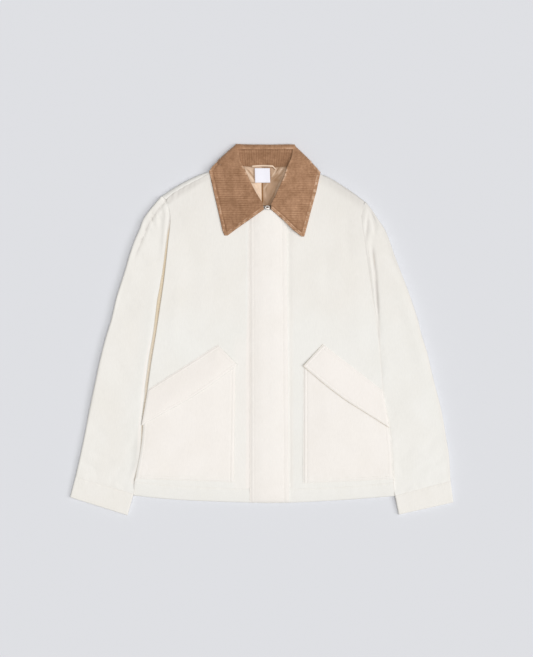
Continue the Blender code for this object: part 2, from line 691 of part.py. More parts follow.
def make_stand():
    """The inside of the collar behind the neck, with upright wales, and its two ends under the leaf."""
    count = 2 * round((LEAF_IN_LEFT[-1][0] - LEAF_IN_RIGHT[-1][0] - 6) / WALE_PITCH)

    def back_side(inside):
        def at(u, v):
            share = u / count
            low = Vector((mix(-46, 55, share), STAND_LOW_Y + 5 * (2 * share - 1) ** 4))
            high = Vector((mix(LEAF_IN_RIGHT[-1][0] + 2, LEAF_IN_LEFT[-1][0] - 2, share), STAND_TOP_Y - SEAM))
            xy = low.lerp(high, v)
            wale = -STAND_CLOTH if inside else u % 2 * WALE_HEIGHT
            return Vector((xy.x, xy.y, mix(BACK_TOP + 4.2, BACK_ROLL_Z - 0.4, v**0.8) + wale))

        return at

    us = [float(i) for i in range(count + 1)]
    wall("collar_stand_back", CORDUROY, us, [0.0, 0.5, 1.0], back_side(False), back_side(True))
    ends = (("collar_stand_right", LEAF_IN_RIGHT[3:], -1), ("collar_stand_left", LEAF_IN_LEFT[4:], 1))
    for name, line, sign in ends:

        def end_side(z, line=line, sign=sign):
            def at(u, v):
                y = mix(NECK_FRONT_Y + 14, STAND_SIDE_TOP_Y, v)
                return Vector((x_at(line, y) + sign * mix(1.0, 15.0, u), y, z))

            return at

        low = FRONT_TOP + SEAM
        wall(name, CORDUROY, [0.0, 1.0], shares(4), end_side(low + STAND_CLOTH), end_side(low))


def make_lining():
    """The satin inside of the back, where it shows in the neck between the fronts."""
    top_edge = [(x, y - 1.0 - SEAM) for x, y in NECK_BACK]
    right = [(x + LINING_INSET, y) for x, y in NECK_RIGHT[::-1]]
    left = [(x - LINING_INSET, y) for x, y in NECK_LEFT[::-1]]
    right[0], left[0] = (ZIP_X - 2, NECK_FRONT_Y + 5), (ZIP_X + 2, NECK_FRONT_Y + 5)
    right[-1], left[-1] = (top_edge[0][0] + 3, top_edge[0][1]), (top_edge[-1][0] - 3, top_edge[-1][1])
    top_edge[0], top_edge[-1] = right[-1], left[-1]
    plan = patch([right[0], left[0]], top_edge, right, left)

    def side(cloth):
        def at(u, v):
            x, y = plan(u, v)
            pleat = LINING_PLEAT["rise"] * smooth(LINING_PLEAT["x"] - 5, LINING_PLEAT["x"], x)
            pleat *= smooth(LINING_PLEAT["x"] + 1.4, LINING_PLEAT["x"] + 0.4, x) * smooth(0.0, 0.15, v)
            creases = fold_height(LINING_FOLDS, x, y)
            return Vector((x, y, BACK_TOP + SEAM + cloth + (pleat + creases) * (cloth > 0)))

        return at

    wall("lining_back", SATIN, shares(12, 0.46, 0.485), shares(10), side(LINING_CLOTH), side(0.0))


def make_neck_pieces():
    """The hanger loop across the seam of the stand, and the blank label below it."""
    label_x, label_y = LABEL_CENTRE
    half_x, half_y = LABEL_SIZE[0] / 2, LABEL_SIZE[1] / 2

    def label_side(cloth):
        def at(u, v):
            rest = BACK_TOP + LINING_CLOTH + 2 * SEAM + 1.0
            return Vector((label_x + mix(-half_x, half_x, u), label_y + mix(-half_y, half_y, v), rest + cloth))

        return at

    wall("neck_label", LABEL, shares(3), shares(3), label_side(LABEL_CLOTH), label_side(0.0))

    def loop_side(cloth):
        def at(u, v):
            arch = LOOP_RISE * math.sin(math.pi * u) ** 0.5
            z = BACK_TOP + 4.2 + SEAM + arch + cloth
            return Vector((mix(*LOOP_SPAN, u), LOOP_Y + mix(-LOOP_WIDTH, LOOP_WIDTH, v) / 2, z))

        return at

    wall("hanger_loop", SATIN, shares(8), [0.0, 1.0], loop_side(LOOP_CLOTH), loop_side(0.0))


def block(name, spec, rows):
    """A hard piece from stacked rounded outlines: rows of (height, list of plan points)."""
    shape = bmesh.new()
    rings = [[shape.verts.new((x, y, z)) for x, y in outline] for z, outline in rows]
    count = len(rings[0])
    for low, high in zip(rings, rings[1:]):
        for i in range(count):
            shape.faces.new((low[i], low[(i + 1) % count], high[(i + 1) % count], high[i]))
    shape.faces.new(rings[0][::-1])
    shape.faces.new(rings[-1])
    bmesh.ops.triangulate(shape, faces=shape.faces)
    return place(name, shape, spec)


def pill(centre, width, length, taper=0.0):
    """An outline with round ends, narrower by the taper at its low end."""
    points = []
    for i in range(12):
        angle = 2 * math.pi * (i + 0.5) / 12
        reach = 1 - taper * (math.sin(angle) < 0)
        x = centre[0] + width / 2 * math.copysign(abs(math.cos(angle)) ** 0.6, math.cos(angle)) * reach
        y = centre[1] + length / 2 * math.copysign(abs(math.sin(angle)) ** 0.6, math.sin(angle))
        points.append((x, y))
    return points


def make_zip():
    """The closed zip under the placket, with its slider at the top and the pull hanging down under the cloth."""
    tape_z = FRONT_TOP + SEAM

    def side(z):
        def at(u, v):
            return Vector((ZIP_X + mix(-TAPE_WIDTH, TAPE_WIDTH, u) / 2, mix(-308, SLIDER["y"] - SLIDER["length"] / 2 - SEAM, v), z))

        return at

    wall("zip_tape", TAPE, [0.0, 0.5, 1.0], shares(4), side(tape_z + TAPE_CLOTH), side(tape_z))
    centre = (ZIP_X, SLIDER["y"])
    low = FRONT_TOP + SEAM
    width, length, thick = SLIDER["width"], SLIDER["length"], SLIDER["thick"]
    rows = [
        (low, pill(centre, width - 1.2, length - 1.2, 0.25)),
        (low + 0.8, pill(centre, width, length, 0.25)),
        (low + thick - 0.8, pill(centre, width, length, 0.25)),
        (low + thick, pill(centre, width - 1.6, length - 1.6, 0.25)),
    ]
    block("zip_slider", NICKEL, rows)
    pull_centre = (ZIP_X, SLIDER["y"] - SLIDER["length"] / 2 - PULL["length"] / 2 - SEAM)
    pull_z = tape_z + TAPE_CLOTH + SEAM
    rows = [
        (pull_z, pill(pull_centre, PULL["width"], PULL["length"])),
        (pull_z + PULL["thick"], pill(pull_centre, PULL["width"], PULL["length"])),
    ]
    block("zip_pull", NICKEL, rows)


bpy.context.preferences.edit.use_global_undo = False
for old in list(bpy.data.objects):
    bpy.data.objects.remove(old)
make_back()
make_fronts()
make_hem_bands()
make_sleeves()
make_cuffs()
make_pockets()
make_placket()
make_leaf()
make_stand()
make_lining()
make_neck_pieces()
make_zip()
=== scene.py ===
import math
import bpy
import bmesh
from mathutils import Matrix, Vector, noise


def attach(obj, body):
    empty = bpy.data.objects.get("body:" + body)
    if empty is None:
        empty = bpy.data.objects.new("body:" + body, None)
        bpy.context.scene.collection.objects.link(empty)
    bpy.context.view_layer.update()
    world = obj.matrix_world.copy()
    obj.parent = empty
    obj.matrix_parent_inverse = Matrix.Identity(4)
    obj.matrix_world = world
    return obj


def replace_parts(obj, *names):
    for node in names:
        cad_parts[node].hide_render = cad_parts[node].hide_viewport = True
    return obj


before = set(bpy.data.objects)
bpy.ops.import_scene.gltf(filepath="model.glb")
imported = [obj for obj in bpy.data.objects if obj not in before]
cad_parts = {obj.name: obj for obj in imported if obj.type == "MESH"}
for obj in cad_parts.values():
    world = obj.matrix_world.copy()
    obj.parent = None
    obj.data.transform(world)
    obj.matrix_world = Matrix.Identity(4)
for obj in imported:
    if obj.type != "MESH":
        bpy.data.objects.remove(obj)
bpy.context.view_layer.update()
print("frame loaded:", len(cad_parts), "nodes")

# Sizes below are in millimetres; finishPiece turns a finished shape into metres.
mm = 0.001
gap = 0.3  # between two pieces that are sewn together or lie on each other
zipX = 11.5
centreHem = -313  # Y of the hem seam at the zip
backTop = 7.0  # height of the back's upper side; the fronts lie on it
frontLow = backTop + gap
frontTop = 15.0
onFront = frontTop + gap  # where the zip and the collar lie
standLow = backTop + 4.2  # foot of the collar's inside, where the hanger loop starts
plainShade = 0.75  # where cottonTones has the plain cotton

# The body's outline, shared by the back, the fronts and the sleeves.
hemEdge = [(-251.2, -326), (-203, -331.5), (-140, -336), (-60, -339), (11, -341), (62, -340), (150, -335.5),
           (200, -332), (260, -327.5)]
hemSeam = [(-249, -297), (-150, -306), (11, -313), (150, -308), (257, -299)]
sideRight = [(-249, -297), (-237.5, -247), (-232, -183), (-219, -81), (-208, -13), (-200, 40), (-192, 95),
             (-184, 165), (-179, 215), (-184, 251)]
sideLeft = [(257, -299), (254, -247), (249, -193), (237, -139), (232, -81), (226, -13), (219, 40),
            (209, 105), (200, 170), (194, 215), (197, 243)]
shoulderRight = [(-184, 251), (-178, 257), (-165, 266), (-117, 293), (-60, 321)]
shoulderLeft = [(197, 243), (178, 256), (128, 287), (70, 319)]
neckRight = [(-60, 321), (-50, 300), (-38, 277), (-20, 252), (zipX, 232)]
neckLeft = [(70, 319), (62, 298), (52, 275), (37, 252), (zipX, 232)]
neckBack = [(-60, 321), (-30, 318), (5, 317), (40, 317), (70, 319)]


def mix(a, b, t):
    return a + (b - a) * t


def rise(low, high, x):  # 0 at low, 1 at high, even between
    t = min(1.0, max(0.0, (x - low) / (high - low)))
    return t * t * (3 - 2 * t)


def dome(distance, reach):  # how full a rounded edge is this far in
    return math.sqrt(max(0.0, 1 - (1 - min(1.0, max(0.0, distance / reach))) ** 2))


def hump(x, middle, halfWidth):
    return math.exp(-(((x - middle) / halfWidth) ** 2))


def hermite(a, b, slopeA, slopeB, s):
    return (a * (2 * s**3 - 3 * s**2 + 1) + slopeA * (s**3 - 2 * s**2 + s)
            + b * (3 * s**2 - 2 * s**3) + slopeB * (s**3 - s**2))


def smoothLine(points):  # gives the place at a share 0 to 1 of the smooth line through the points
    points = [Vector(p) for p in points]
    spans = [(b - a).length for a, b in zip(points, points[1:])]
    known = {}

    def at(t):
        if t in known:
            return known[t]
        left = min(1.0, max(0.0, t)) * sum(spans)
        i = 0
        while i < len(spans) - 1 and left > spans[i]:
            left -= spans[i]
            i += 1
        a, b = points[i], points[i + 1]
        before = points[i - 1] if i else a * 2 - b
        after = points[i + 2] if i + 2 < len(points) else b * 2 - a
        slopeA = (b - before) * (spans[i] / max((b - before).length, 1e-6))
        slopeB = (after - a) * (spans[i] / max((after - a).length, 1e-6))
        known[t] = hermite(a, b, slopeA, slopeB, left / spans[i])
        return known[t]

    return at


def fourSided(low, high, first, last):  # plan of a panel between four edges: low and high run along u
    low, high, first, last = (smoothLine(edge) for edge in (low, high, first, last))
    a, b, c, d = low(0.0), low(1.0), high(0.0), high(1.0)

    def at(u, v):
        return (low(u) * (1 - v) + high(u) * v + first(v) * (1 - u) + last(v) * u
                - (a * (1 - u) + b * u) * (1 - v) - (c * (1 - u) + d * u) * v)

    return at


def shift(points, dx=0.0, dy=0.0):
    return [(x + dx, y + dy) for x, y in points]


def shares(length, step, rows=(), edge=(0.35, 1.0, 2.0, 3.4, 5.2)):
    # shares of a length: even steps, closer near both ends and at each seam row (below 0: from the end)
    places = {0.0, length}
    close = list(edge) + [length - e for e in edge]
    for row in rows:
        middle = row if row >= 0 else length + row
        close += [middle + o for o in (-1.6, -0.8, 0.0, 0.8, 1.6)]
    places |= {c for c in close if 0 < c < length}
    count = max(2, round(length / step))
    for i in range(1, count):
        if min(abs(i / count * length - p) for p in places) > 0.45 * step:
            places.add(i / count * length)
    kept = []
    for place in sorted(places):
        if not kept or place - kept[-1] > 0.25 or place == length:
            kept.append(place)
    return [k / length for k in kept]


def xAt(line, y):  # X on a line given by its Y
    line = line if line[0][1] < line[-1][1] else line[::-1]
    for (x0, y0), (x1, y1) in zip(line, line[1:]):
        if y <= y1:
            return mix(x0, x1, max(0.0, (y - y0) / (y1 - y0)))
    return line[-1][0]


def offLine(a, b, x, y):  # distance from the straight line a-b, positive on its left
    alongX, alongY = b[0] - a[0], b[1] - a[1]
    return (alongX * (y - a[1]) - alongY * (x - a[0])) / math.hypot(alongX, alongY)


def nearLine(points, x, y):  # distance to a row of points
    least = 1e9
    for (ax, ay), (bx, by) in zip(points, points[1:]):
        dx, dy = bx - ax, by - ay
        t = min(1.0, max(0.0, ((x - ax) * dx + (y - ay) * dy) / (dx * dx + dy * dy)))
        least = min(least, math.hypot(x - ax - dx * t, y - ay - dy * t))
    return least


# A fold is its start, end, half width, height (below 0 for a trough) and sideways bend.
def foldHeight(folds, x, y):
    height = 0.0
    for (ax, ay), (bx, by), halfWidth, high, bend in folds:
        dx, dy = bx - ax, by - ay
        t = ((x - ax) * dx + (y - ay) * dy) / (dx * dx + dy * dy)
        if t < -0.2 or t > 1.2:
            continue
        off = ((y - ay) * dx - (x - ax) * dy) / math.hypot(dx, dy) - bend * 4 * t * (1 - t)
        if abs(off) < 3 * halfWidth:
            height += high * math.exp(-((off / halfWidth) ** 2)) * rise(-0.2, 0.35, t) * rise(1.2, 0.65, t)
    return height


def ribs(phase):  # 0 between two wales, 1 on a wale
    return 0.5 - 0.5 * math.cos(2 * math.pi * phase)


def uneven(x, y, size, seed):
    return noise.noise(Vector((x / size, y / size, seed)))


def pucker(along, distance, seed, reach=7.0, pitch=9.0):  # short ripples across a row of stitches
    return noise.noise(Vector((along / pitch, seed, distance / 14))) * math.exp(-((distance / reach) ** 2))


def seamDip(distance, depth=0.45, halfWidth=1.0):
    return -depth * math.exp(-((distance / halfWidth) ** 2))


print("making the materials")


def newLook(name, colour, roughness, sheenTint=None, **direct):
    look = bpy.data.materials.new(name)
    look.use_nodes = True
    inputs = look.node_tree.nodes["Principled BSDF"].inputs
    inputs["Base Color"].default_value = (*colour, 1)
    inputs["Roughness"].default_value = roughness
    if sheenTint:
        inputs["Sheen Tint"].default_value = (*sheenTint, 1)
    for socket, value in direct.items():
        inputs[socket.replace("_", " ")].default_value = value
    return look


def addNode(look, kind, sockets=(), **settings):
    node = look.node_tree.nodes.new(kind)
    for key, value in settings.items():
        setattr(node, key, value)
    for key, value in dict(sockets).items():
        node.inputs[key].default_value = value
    return node


def tie(look, start, end):
    look.node_tree.links.new(start, end)


def objectPlace(look, turn=0.0, stretch=(1, 1, 1)):
    coords = addNode(look, "ShaderNodeTexCoord")
    mapping = addNode(look, "ShaderNodeMapping", {"Rotation": (0, 0, math.radians(turn)), "Scale": stretch})
    tie(look, coords.outputs["Object"], mapping.inputs["Vector"])
    return mapping.outputs["Vector"]


def shadeOf(look):  # each piece's own attribute
    return addNode(look, "ShaderNodeAttribute", attribute_name="shade", attribute_type="GEOMETRY").outputs["Fac"]


def noiseOf(look, place, scale, detail=3.0, roughness=0.5):
    node = addNode(look, "ShaderNodeTexNoise", {"Scale": scale, "Detail": detail, "Roughness": roughness})
    tie(look, place, node.inputs["Vector"])
    return node.outputs["Fac"]


def ribsOf(look, place, pitch, wobble=0.4):  # pitch in mm
    node = addNode(look, "ShaderNodeTexWave",
                   {"Scale": 0.314 / (pitch * mm), "Distortion": wobble, "Detail": 2.0, "Detail Scale": 1.5})
    tie(look, place, node.inputs["Vector"])
    return node.outputs["Fac"]


def rampOf(look, factor, stops):  # stops are rows of place and colour
    ramp = addNode(look, "ShaderNodeValToRGB")
    while len(ramp.color_ramp.elements) < len(stops):
        ramp.color_ramp.elements.new(0.5)
    for element, (place, colour) in zip(ramp.color_ramp.elements, stops):
        element.position, element.color = place, (*colour, 1)
    tie(look, factor, ramp.inputs["Fac"])
    return ramp.outputs["Color"]


def mottle(look, place, scale, detail, dark, light, low=0.3, high=0.7, roughness=0.5):
    return rampOf(look, noiseOf(look, place, scale, detail, roughness), [(low, dark), (high, light)])


def finishLook(look, colours, bumps):
    # the colours multiply each other; bumps are rows of value, strength and distance in mm
    shader = look.node_tree.nodes["Principled BSDF"]
    colour, normal = colours[0], None
    for other in colours[1:]:
        node = addNode(look, "ShaderNodeMix", {"Factor": 1.0}, data_type="RGBA", blend_type="MULTIPLY")
        tie(look, colour, node.inputs[6])
        tie(look, other, node.inputs[7])
        colour = node.outputs[2]
    tie(look, colour, shader.inputs["Base Color"])
    for value, strength, distance in bumps:
        bump = addNode(look, "ShaderNodeBump", {"Strength": strength, "Distance": distance * mm})
        tie(look, value, bump.inputs["Height"])
        if normal:
            tie(look, normal, bump.inputs["Normal"])
        normal = bump.outputs["Normal"]
    tie(look, normal, shader.inputs["Normal"])
    return look


# Tones read from each piece's shade: the cotton's from warm painted shade deep in a crevice, through painted grey
# shade at the shoulders, to the paler tone of a pocket; the corduroy's from painted shade between the wales to painted
# highlights, patchy like wear, on the border ridges and the roll; the satin's from painted shade at a seam and in the
# pleat to painted light on a crease.
cottonTones = [(0.0, (0.50, 0.39, 0.25)), (0.25, (0.68, 0.59, 0.45)), (0.42, (0.665, 0.644, 0.612)),
               (0.75, (0.838, 0.823, 0.784)), (0.82, (0.842, 0.840, 0.808)), (1.0, (0.888, 0.855, 0.818))]
corduroyTones = [(0.05, (0.292, 0.155, 0.084)), (0.7, (0.443, 0.254, 0.149)), (1.0, (0.62, 0.42, 0.29))]
satinTones = [(0.0, (0.25, 0.118, 0.040)), (1.0, (0.82, 0.63, 0.475))]


def cottonLook():
    look = newLook("cream_cotton", cottonTones[3][1], 0.88, (1.0, 0.97, 0.92), Sheen_Weight=0.12,
                   Sheen_Roughness=0.5, Specular_IOR_Level=0.2)
    plain, slanted, along = objectPlace(look), objectPlace(look, 58), objectPlace(look, 0, (1, 0.12, 1))
    cloud = mottle(look, plain, 16, 4, (0.985, 0.982, 0.975), (1, 1, 1), 0.35, 0.6)
    slub = mottle(look, along, 900, 2, (0.97,) * 3, (1.01,) * 3)
    return finishLook(look, [rampOf(look, shadeOf(look), cottonTones), cloud, slub],
                      [(noiseOf(look, plain, 75, 4, 0.6), 0.16, 0.9), (noiseOf(look, plain, 420, 3), 0.16, 0.25),
                       (ribsOf(look, slanted, 0.85, 0.8), 0.22, 0.16)])


def threadLook():
    look = newLook("cream_thread", (0.86, 0.83, 0.76), 0.6, Sheen_Weight=0.2)
    colour = mottle(look, objectPlace(look), 600, 3, (0.80, 0.77, 0.70), (0.90, 0.87, 0.81))
    return finishLook(look, [colour], [(ribsOf(look, objectPlace(look, 35), 0.35), 0.4, 0.1)])


def corduroyLook():
    look = newLook("tan_corduroy", corduroyTones[1][1], 0.92, (1.0, 0.82, 0.66), Sheen_Weight=0.55,
                   Sheen_Roughness=0.4, Specular_IOR_Level=0.2)
    place = objectPlace(look)
    pile = mottle(look, place, 55, 5, (0.86, 0.84, 0.81), (1.14, 1.16, 1.19), 0.36, 0.66, 0.65)
    patches = mottle(look, place, 230, 3, (0.90, 0.89, 0.88), (1.08, 1.09, 1.10), 0.35, 0.65)
    fibre = mottle(look, place, 1300, 2, (0.86,) * 3, (1.1,) * 3)
    return finishLook(look, [rampOf(look, shadeOf(look), corduroyTones), pile, patches, fibre],
                      [(noiseOf(look, place, 260, 3), 0.35, 0.5), (noiseOf(look, place, 1300, 2), 0.5, 0.25)])


def satinLook():
    look = newLook("sand_satin", (0.60, 0.42, 0.28), 0.45, Specular_IOR_Level=0.14)
    cloud = mottle(look, objectPlace(look), 60, 3, (0.90,) * 3, (1.06,) * 3)
    return finishLook(look, [rampOf(look, shadeOf(look), satinTones), cloud],
                      [(noiseOf(look, objectPlace(look, 25, (1, 0.35, 1)), 90, 3), 0.35, 0.8),
                       (ribsOf(look, objectPlace(look, 90), 0.3), 0.12, 0.05)])


def labelLook():
    look = newLook("white_label", (0.84, 0.84, 0.92), 0.55, Sheen_Weight=0.1)
    place = objectPlace(look)
    weave = ribsOf(look, place, 0.55, 0.2)
    return finishLook(look, [rampOf(look, weave, [(0.0, (0.80, 0.80, 0.89)), (1.0, (0.88, 0.88, 0.95))])],
                      [(weave, 0.35, 0.1), (noiseOf(look, place, 500), 0.3, 0.12)])


def tapeLook():
    look = newLook("zip_tape", (0.80, 0.77, 0.70), 0.8, Sheen_Weight=0.15)
    place = objectPlace(look, 90)
    return finishLook(look, [mottle(look, place, 300, 3, (0.74, 0.71, 0.64), (0.84, 0.81, 0.75))],
                      [(ribsOf(look, place, 0.7), 0.5, 0.15)])


def nickelLook():
    look = newLook("nickel", (0.56, 0.53, 0.50), 0.42, Metallic=1.0)
    colour = mottle(look, objectPlace(look), 350, 3, (0.50, 0.47, 0.44), (0.62, 0.59, 0.56), 0.35, 0.65)
    # painted shadow on the slider's base plate, seen through its slot
    inside = rampOf(look, shadeOf(look), [(0.0, (1, 1, 1)), (1.0, (0.16, 0.13, 0.11))])
    return finishLook(look, [colour, inside],
                      [(noiseOf(look, objectPlace(look, 0, (1, 0.1, 1)), 1500, 2), 0.15, 0.05)])


looks = {"cream_cotton": cottonLook(), "tan_corduroy": corduroyLook(), "sand_satin": satinLook(),
         "white_label": labelLook(), "zip_tape": tapeLook(), "nickel": nickelLook()}
creamThread = threadLook()


def meshOf(name, shape):
    mesh = bpy.data.meshes.new(name)
    shape.to_mesh(mesh)
    shape.free()
    return mesh


def link(name, data):
    thing = bpy.data.objects.new(name, data)
    bpy.context.scene.collection.objects.link(thing)
    return thing


def nodeOf(name):  # the solid that a piece stands for: pocketFlapLeft is pocket_flap_left
    return "".join("_" + letter.lower() if letter.isupper() else letter for letter in name)


def finishPiece(name, shape, slot, look=None, sharp=60):
    bmesh.ops.scale(shape, vec=(mm, mm, mm), verts=shape.verts)
    mesh = meshOf(name, shape)
    mesh.materials.append(look or looks[slot])
    mesh.shade_smooth()
    mesh.set_sharp_from_angle(angle=math.radians(sharp))
    piece = link(name, mesh)
    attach(piece, "root")
    return piece


def makeWall(name, us, vs, outer, inner, shade=None, slot="cream_cotton", closed=False):
    # a wall of cloth over a grid of shares: outer(u, v) is one side, inner(u, v) the other
    shape = bmesh.new()
    columns = us + [us[0]] if closed else us
    lastU, lastV = len(columns) - 1, len(vs) - 1
    bmesh.ops.create_grid(shape, x_segments=lastU, y_segments=lastV, size=0.5)
    layers = shape.verts.layers.float
    shareU, shareV, shadeLayer = layers.new("across"), layers.new("along"), layers.new("shade")
    grid = {}
    for vert in shape.verts:
        i, j = round((vert.co.x + 0.5) * lastU), round((vert.co.y + 0.5) * lastV)
        grid[i, j] = vert
        vert[shareU], vert[shareV] = columns[i], vs[j]
        vert[shadeLayer] = shade(columns[i], vs[j]) if shade else plainShade
        vert.co = outer(columns[i], vs[j])
    if closed:
        bmesh.ops.weld_verts(shape, targetmap={grid[lastU, j]: grid[0, j] for j in range(lastV + 1)})
    made = bmesh.ops.extrude_face_region(shape, geom=shape.faces[:])["geom"]
    for vert in (g for g in made if isinstance(g, bmesh.types.BMVert)):
        vert.co = inner(vert[shareU], vert[shareV])
    bmesh.ops.recalc_face_normals(shape, faces=shape.faces)
    piece = finishPiece(name, shape, slot)
    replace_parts(piece, "placket" if name == "stormFlap" else nodeOf(name))
    return piece


def flatPiece(name, us, vs, plan, top, low, shade=None, slot="cream_cotton"):
    # a panel lying flat: top and low give its heights from x, y, u, v
    def side(height):
        def at(u, v):
            x, y = plan(u, v)
            return Vector((x, y, height(x, y, u, v)))

        return at

    return makeWall(name, us, vs, side(top), side(low), shade, slot), side(top)


def fromEdges(u, v, wide, long):  # distances in mm from a panel's first, last, low and high edges
    return u * wide, (1 - u) * wide, v * long, (1 - v) * long


stitch = {"length": 2.5, "pitch": 3.3, "thick": 0.34, "sunk": 0.02, "samples": 160}


def sewRows(name, rows):
    # each row is a surface and the shares of its two ends; the stitches lie along it
    whole = bmesh.new()
    for surface, (u0, v0), (u1, v1) in rows:
        shape = bmesh.new()
        ways = [i / stitch["samples"] for i in range(stitch["samples"] + 1)]
        path = [surface(mix(u0, u1, way), mix(v0, v1, way)) for way in ways]
        travelled, wanted = 0.0, stitch["pitch"]
        for a, b in zip(path, path[1:]):
            step = (b - a).length
            while wanted <= travelled + step:
                place = a.lerp(b, (wanted - travelled) / max(step, 1e-6)) - Vector((0, 0, stitch["sunk"]))
                turn = (b - a).to_track_quat("X", "Z").to_matrix().to_4x4()
                scale = Matrix.Diagonal((stitch["length"] / 2, stitch["thick"], stitch["thick"], 1))
                bmesh.ops.create_uvsphere(shape, u_segments=6, v_segments=4, radius=1.0,
                                          matrix=Matrix.Translation(place) @ turn @ scale)
                wanted += stitch["pitch"]
            travelled += step
        rowMesh = meshOf("row", shape)
        whole.from_mesh(rowMesh)
        bpy.data.meshes.remove(rowMesh)
    finishPiece(name, whole, "cream_cotton", creamThread)


print("making the body panels")

frontFolds = [
    ((-142, 195), (-138, 30), 17, -0.9, 4), ((-98, 160), (-90, 60), 12, -0.66, -3),
    ((-168, 120), (-176, -40), 12, 0.6, 3), ((168, 230), (172, 120), 11, -0.96, -4),
    ((122, 170), (126, 60), 11, -0.66, 3), ((188, 60), (196, -60), 12, 0.6, -3),
    ((-170, 225), (-150, 205), 7, -0.48, 1), ((-60, 60), (-66, -20), 13, -0.3, 2),
    ((90, 120), (96, 20), 13, -0.36, -3), ((150, 20), (158, -30), 9, -0.3, 2),
    ((-120, 250), (-150, 180), 14, 0.36, -3),
]


def frontBase(x, y):  # the fronts' upper side away from their edges
    away = rise(300, 285, y) * rise(-300, -270, y)
    underLeaf = rise(120, 92, abs(x - 5)) * rise(170, 200, y)
    soft = 0.75 * uneven(x, y, 72, 3.1) + 0.28 * uneven(x, y, 27, 8.7)
    return frontTop + (foldHeight(frontFolds, x, y) + soft) * away * (1 - underLeaf)


backCut = {"flat": (0.510, 0.625), "area": 0.268, "wide": 440, "long": 560, "lipEdge": 6.0,
           "edge": (0.5, 1.6, 3.2, 5.0, 7.5),
           "lip": (1.01, 1.04, 1.1, 1.2, 1.32, 1.46, 1.6, 1.73, 1.84, 1.92, 1.97, 2.0)}


def makeBack():
    seams = shoulderRight[:-1] + neckBack + shoulderLeft[-2::-1]
    seamLine = smoothLine(seams)
    edgeLine = smoothLine([(-196, 258), (-183, 267), (-158, 282.5), (-117, 302), (-94, 308)] + shift(neckBack, dy=2.0)
                          + [(104, 303), (127, 297), (166, 273.5), (187, 258.5), (202.5, 246.5)])
    body = fourSided(shift(hemSeam, dy=gap / 2), seams, shift(sideRight, dx=-0.6), shift(sideLeft, dx=0.6))

    def plan(u, v):
        return body(u, v) if v <= 1 else seamLine(u).lerp(edgeLine(u), v - 1)

    def onShoulder(u):
        return rise(50, 80, abs(seamLine(u).x - 5))

    def top(x, y, u, v):
        edge = min(u, 1 - u) * backCut["wide"]
        if v <= 1.0:
            return backTop - 1.0 * (1 - dome(edge, 6))
        share = v - 1
        full = math.sqrt(max(0.0, 1 - share * share))
        over = mix(backCut["lipEdge"], frontTop - 0.4, full) - 1.2 * hump(share * 7, 0, 1.1) - 0.8 * rise(0.5, 0.7, u)
        over += 0.35 * uneven(x * 1.5, y, 9, 2.2) * math.sin(math.pi * share)
        return mix(backTop - 1.5 * share, over, onShoulder(u))

    def low(x, y, u, v):
        edge = min(u, 1 - u) * backCut["wide"]
        up = 3.6 * (1 - dome(edge, 6)) if v <= 1 else mix(3.0, backCut["lipEdge"] - 1.0, onShoulder(u)) * (v - 1) ** 2
        cover = rise(265, 283, y) * rise(150, 118, abs(x - 5))
        return max(up, 4.1 * cover)

    def tone(u, v):
        # painted shade: warmer and darker towards the panel's sides, where they lie in the sleeves' crevices; on the
        # shoulder lip, painted shade over the half past u = 0.5 and along its seam
        if v <= 1:
            return mix(0.2, plainShade, rise(2, 12, min(u, 1 - u) * backCut["wide"]))
        return mix(mix(0.84, 0.50, rise(0.5, 0.75, u)), 0.45, 0.85 * rise(1.3, 1.04, v))

    us = shares(backCut["wide"], 5.0, (), backCut["edge"])
    vs = shares(backCut["long"], 6.0, (), backCut["edge"]) + list(backCut["lip"])
    piece, _ = flatPiece("backPanel", us, vs, plan, top, low, tone)


makeBack()

frontCut = {"flat": (0.272, 0.615), "area": 0.130, "wide": 250, "long": 550,
            "centre": 1.2, "hem": 0.2, "shoulder": 1.1,  # how much lower each edge is rounded
            "past": {"Right": 2.6, "Left": 5.2}}  # how far the shoulder seam lies past the back's own line

# Where a sleeve lies along the body: height Y, width of the crevice there, its depth and how much warm painted shade
# its sides get.
crevices = {
    "Right": [(-324, 0.2, 0.5, 0.46), (-264, 0.5, 0.6, 0.48), (-217, 0.5, 0.8, 0.50), (-183, 1.5, 2.0, 0.52),
              (-100, 3.8, 3.2, 0.50), (-54, 4.2, 3.4, 0.52), (-7, 3.8, 3.4, 0.54), (30, 4.6, 3.6, 0.56),
              (55, 5.4, 3.6, 0.56), (87, 4.2, 3.4, 0.56), (110, 3.2, 3.2, 0.55), (134, 2.6, 3.0, 0.54),
              (180, 2.2, 2.8, 0.50), (205, 1.4, 1.8, 0.36), (225, 0.2, 0.6, 0.12), (240, 0.0, 0.2, 0.02)],
    "Left": [(-324, 0.4, 0.4, 0.16), (-217, 0.6, 0.3, 0.07), (-100, 1.0, 0.3, 0.05), (-10, 1.5, 0.3, 0.06),
             (60, 0.0, 0.3, 0.05), (140, 0.3, 0.4, 0.08), (215, 0.3, 0.5, 0.12), (240, 0.0, 0.3, 0.05)],
}


def tableAt(rows, t, column=1):
    for a, b in zip(rows, rows[1:]):
        if t <= b[0]:
            return mix(a[column], b[column], rise(a[0], b[0], t))
    return rows[-1][column]


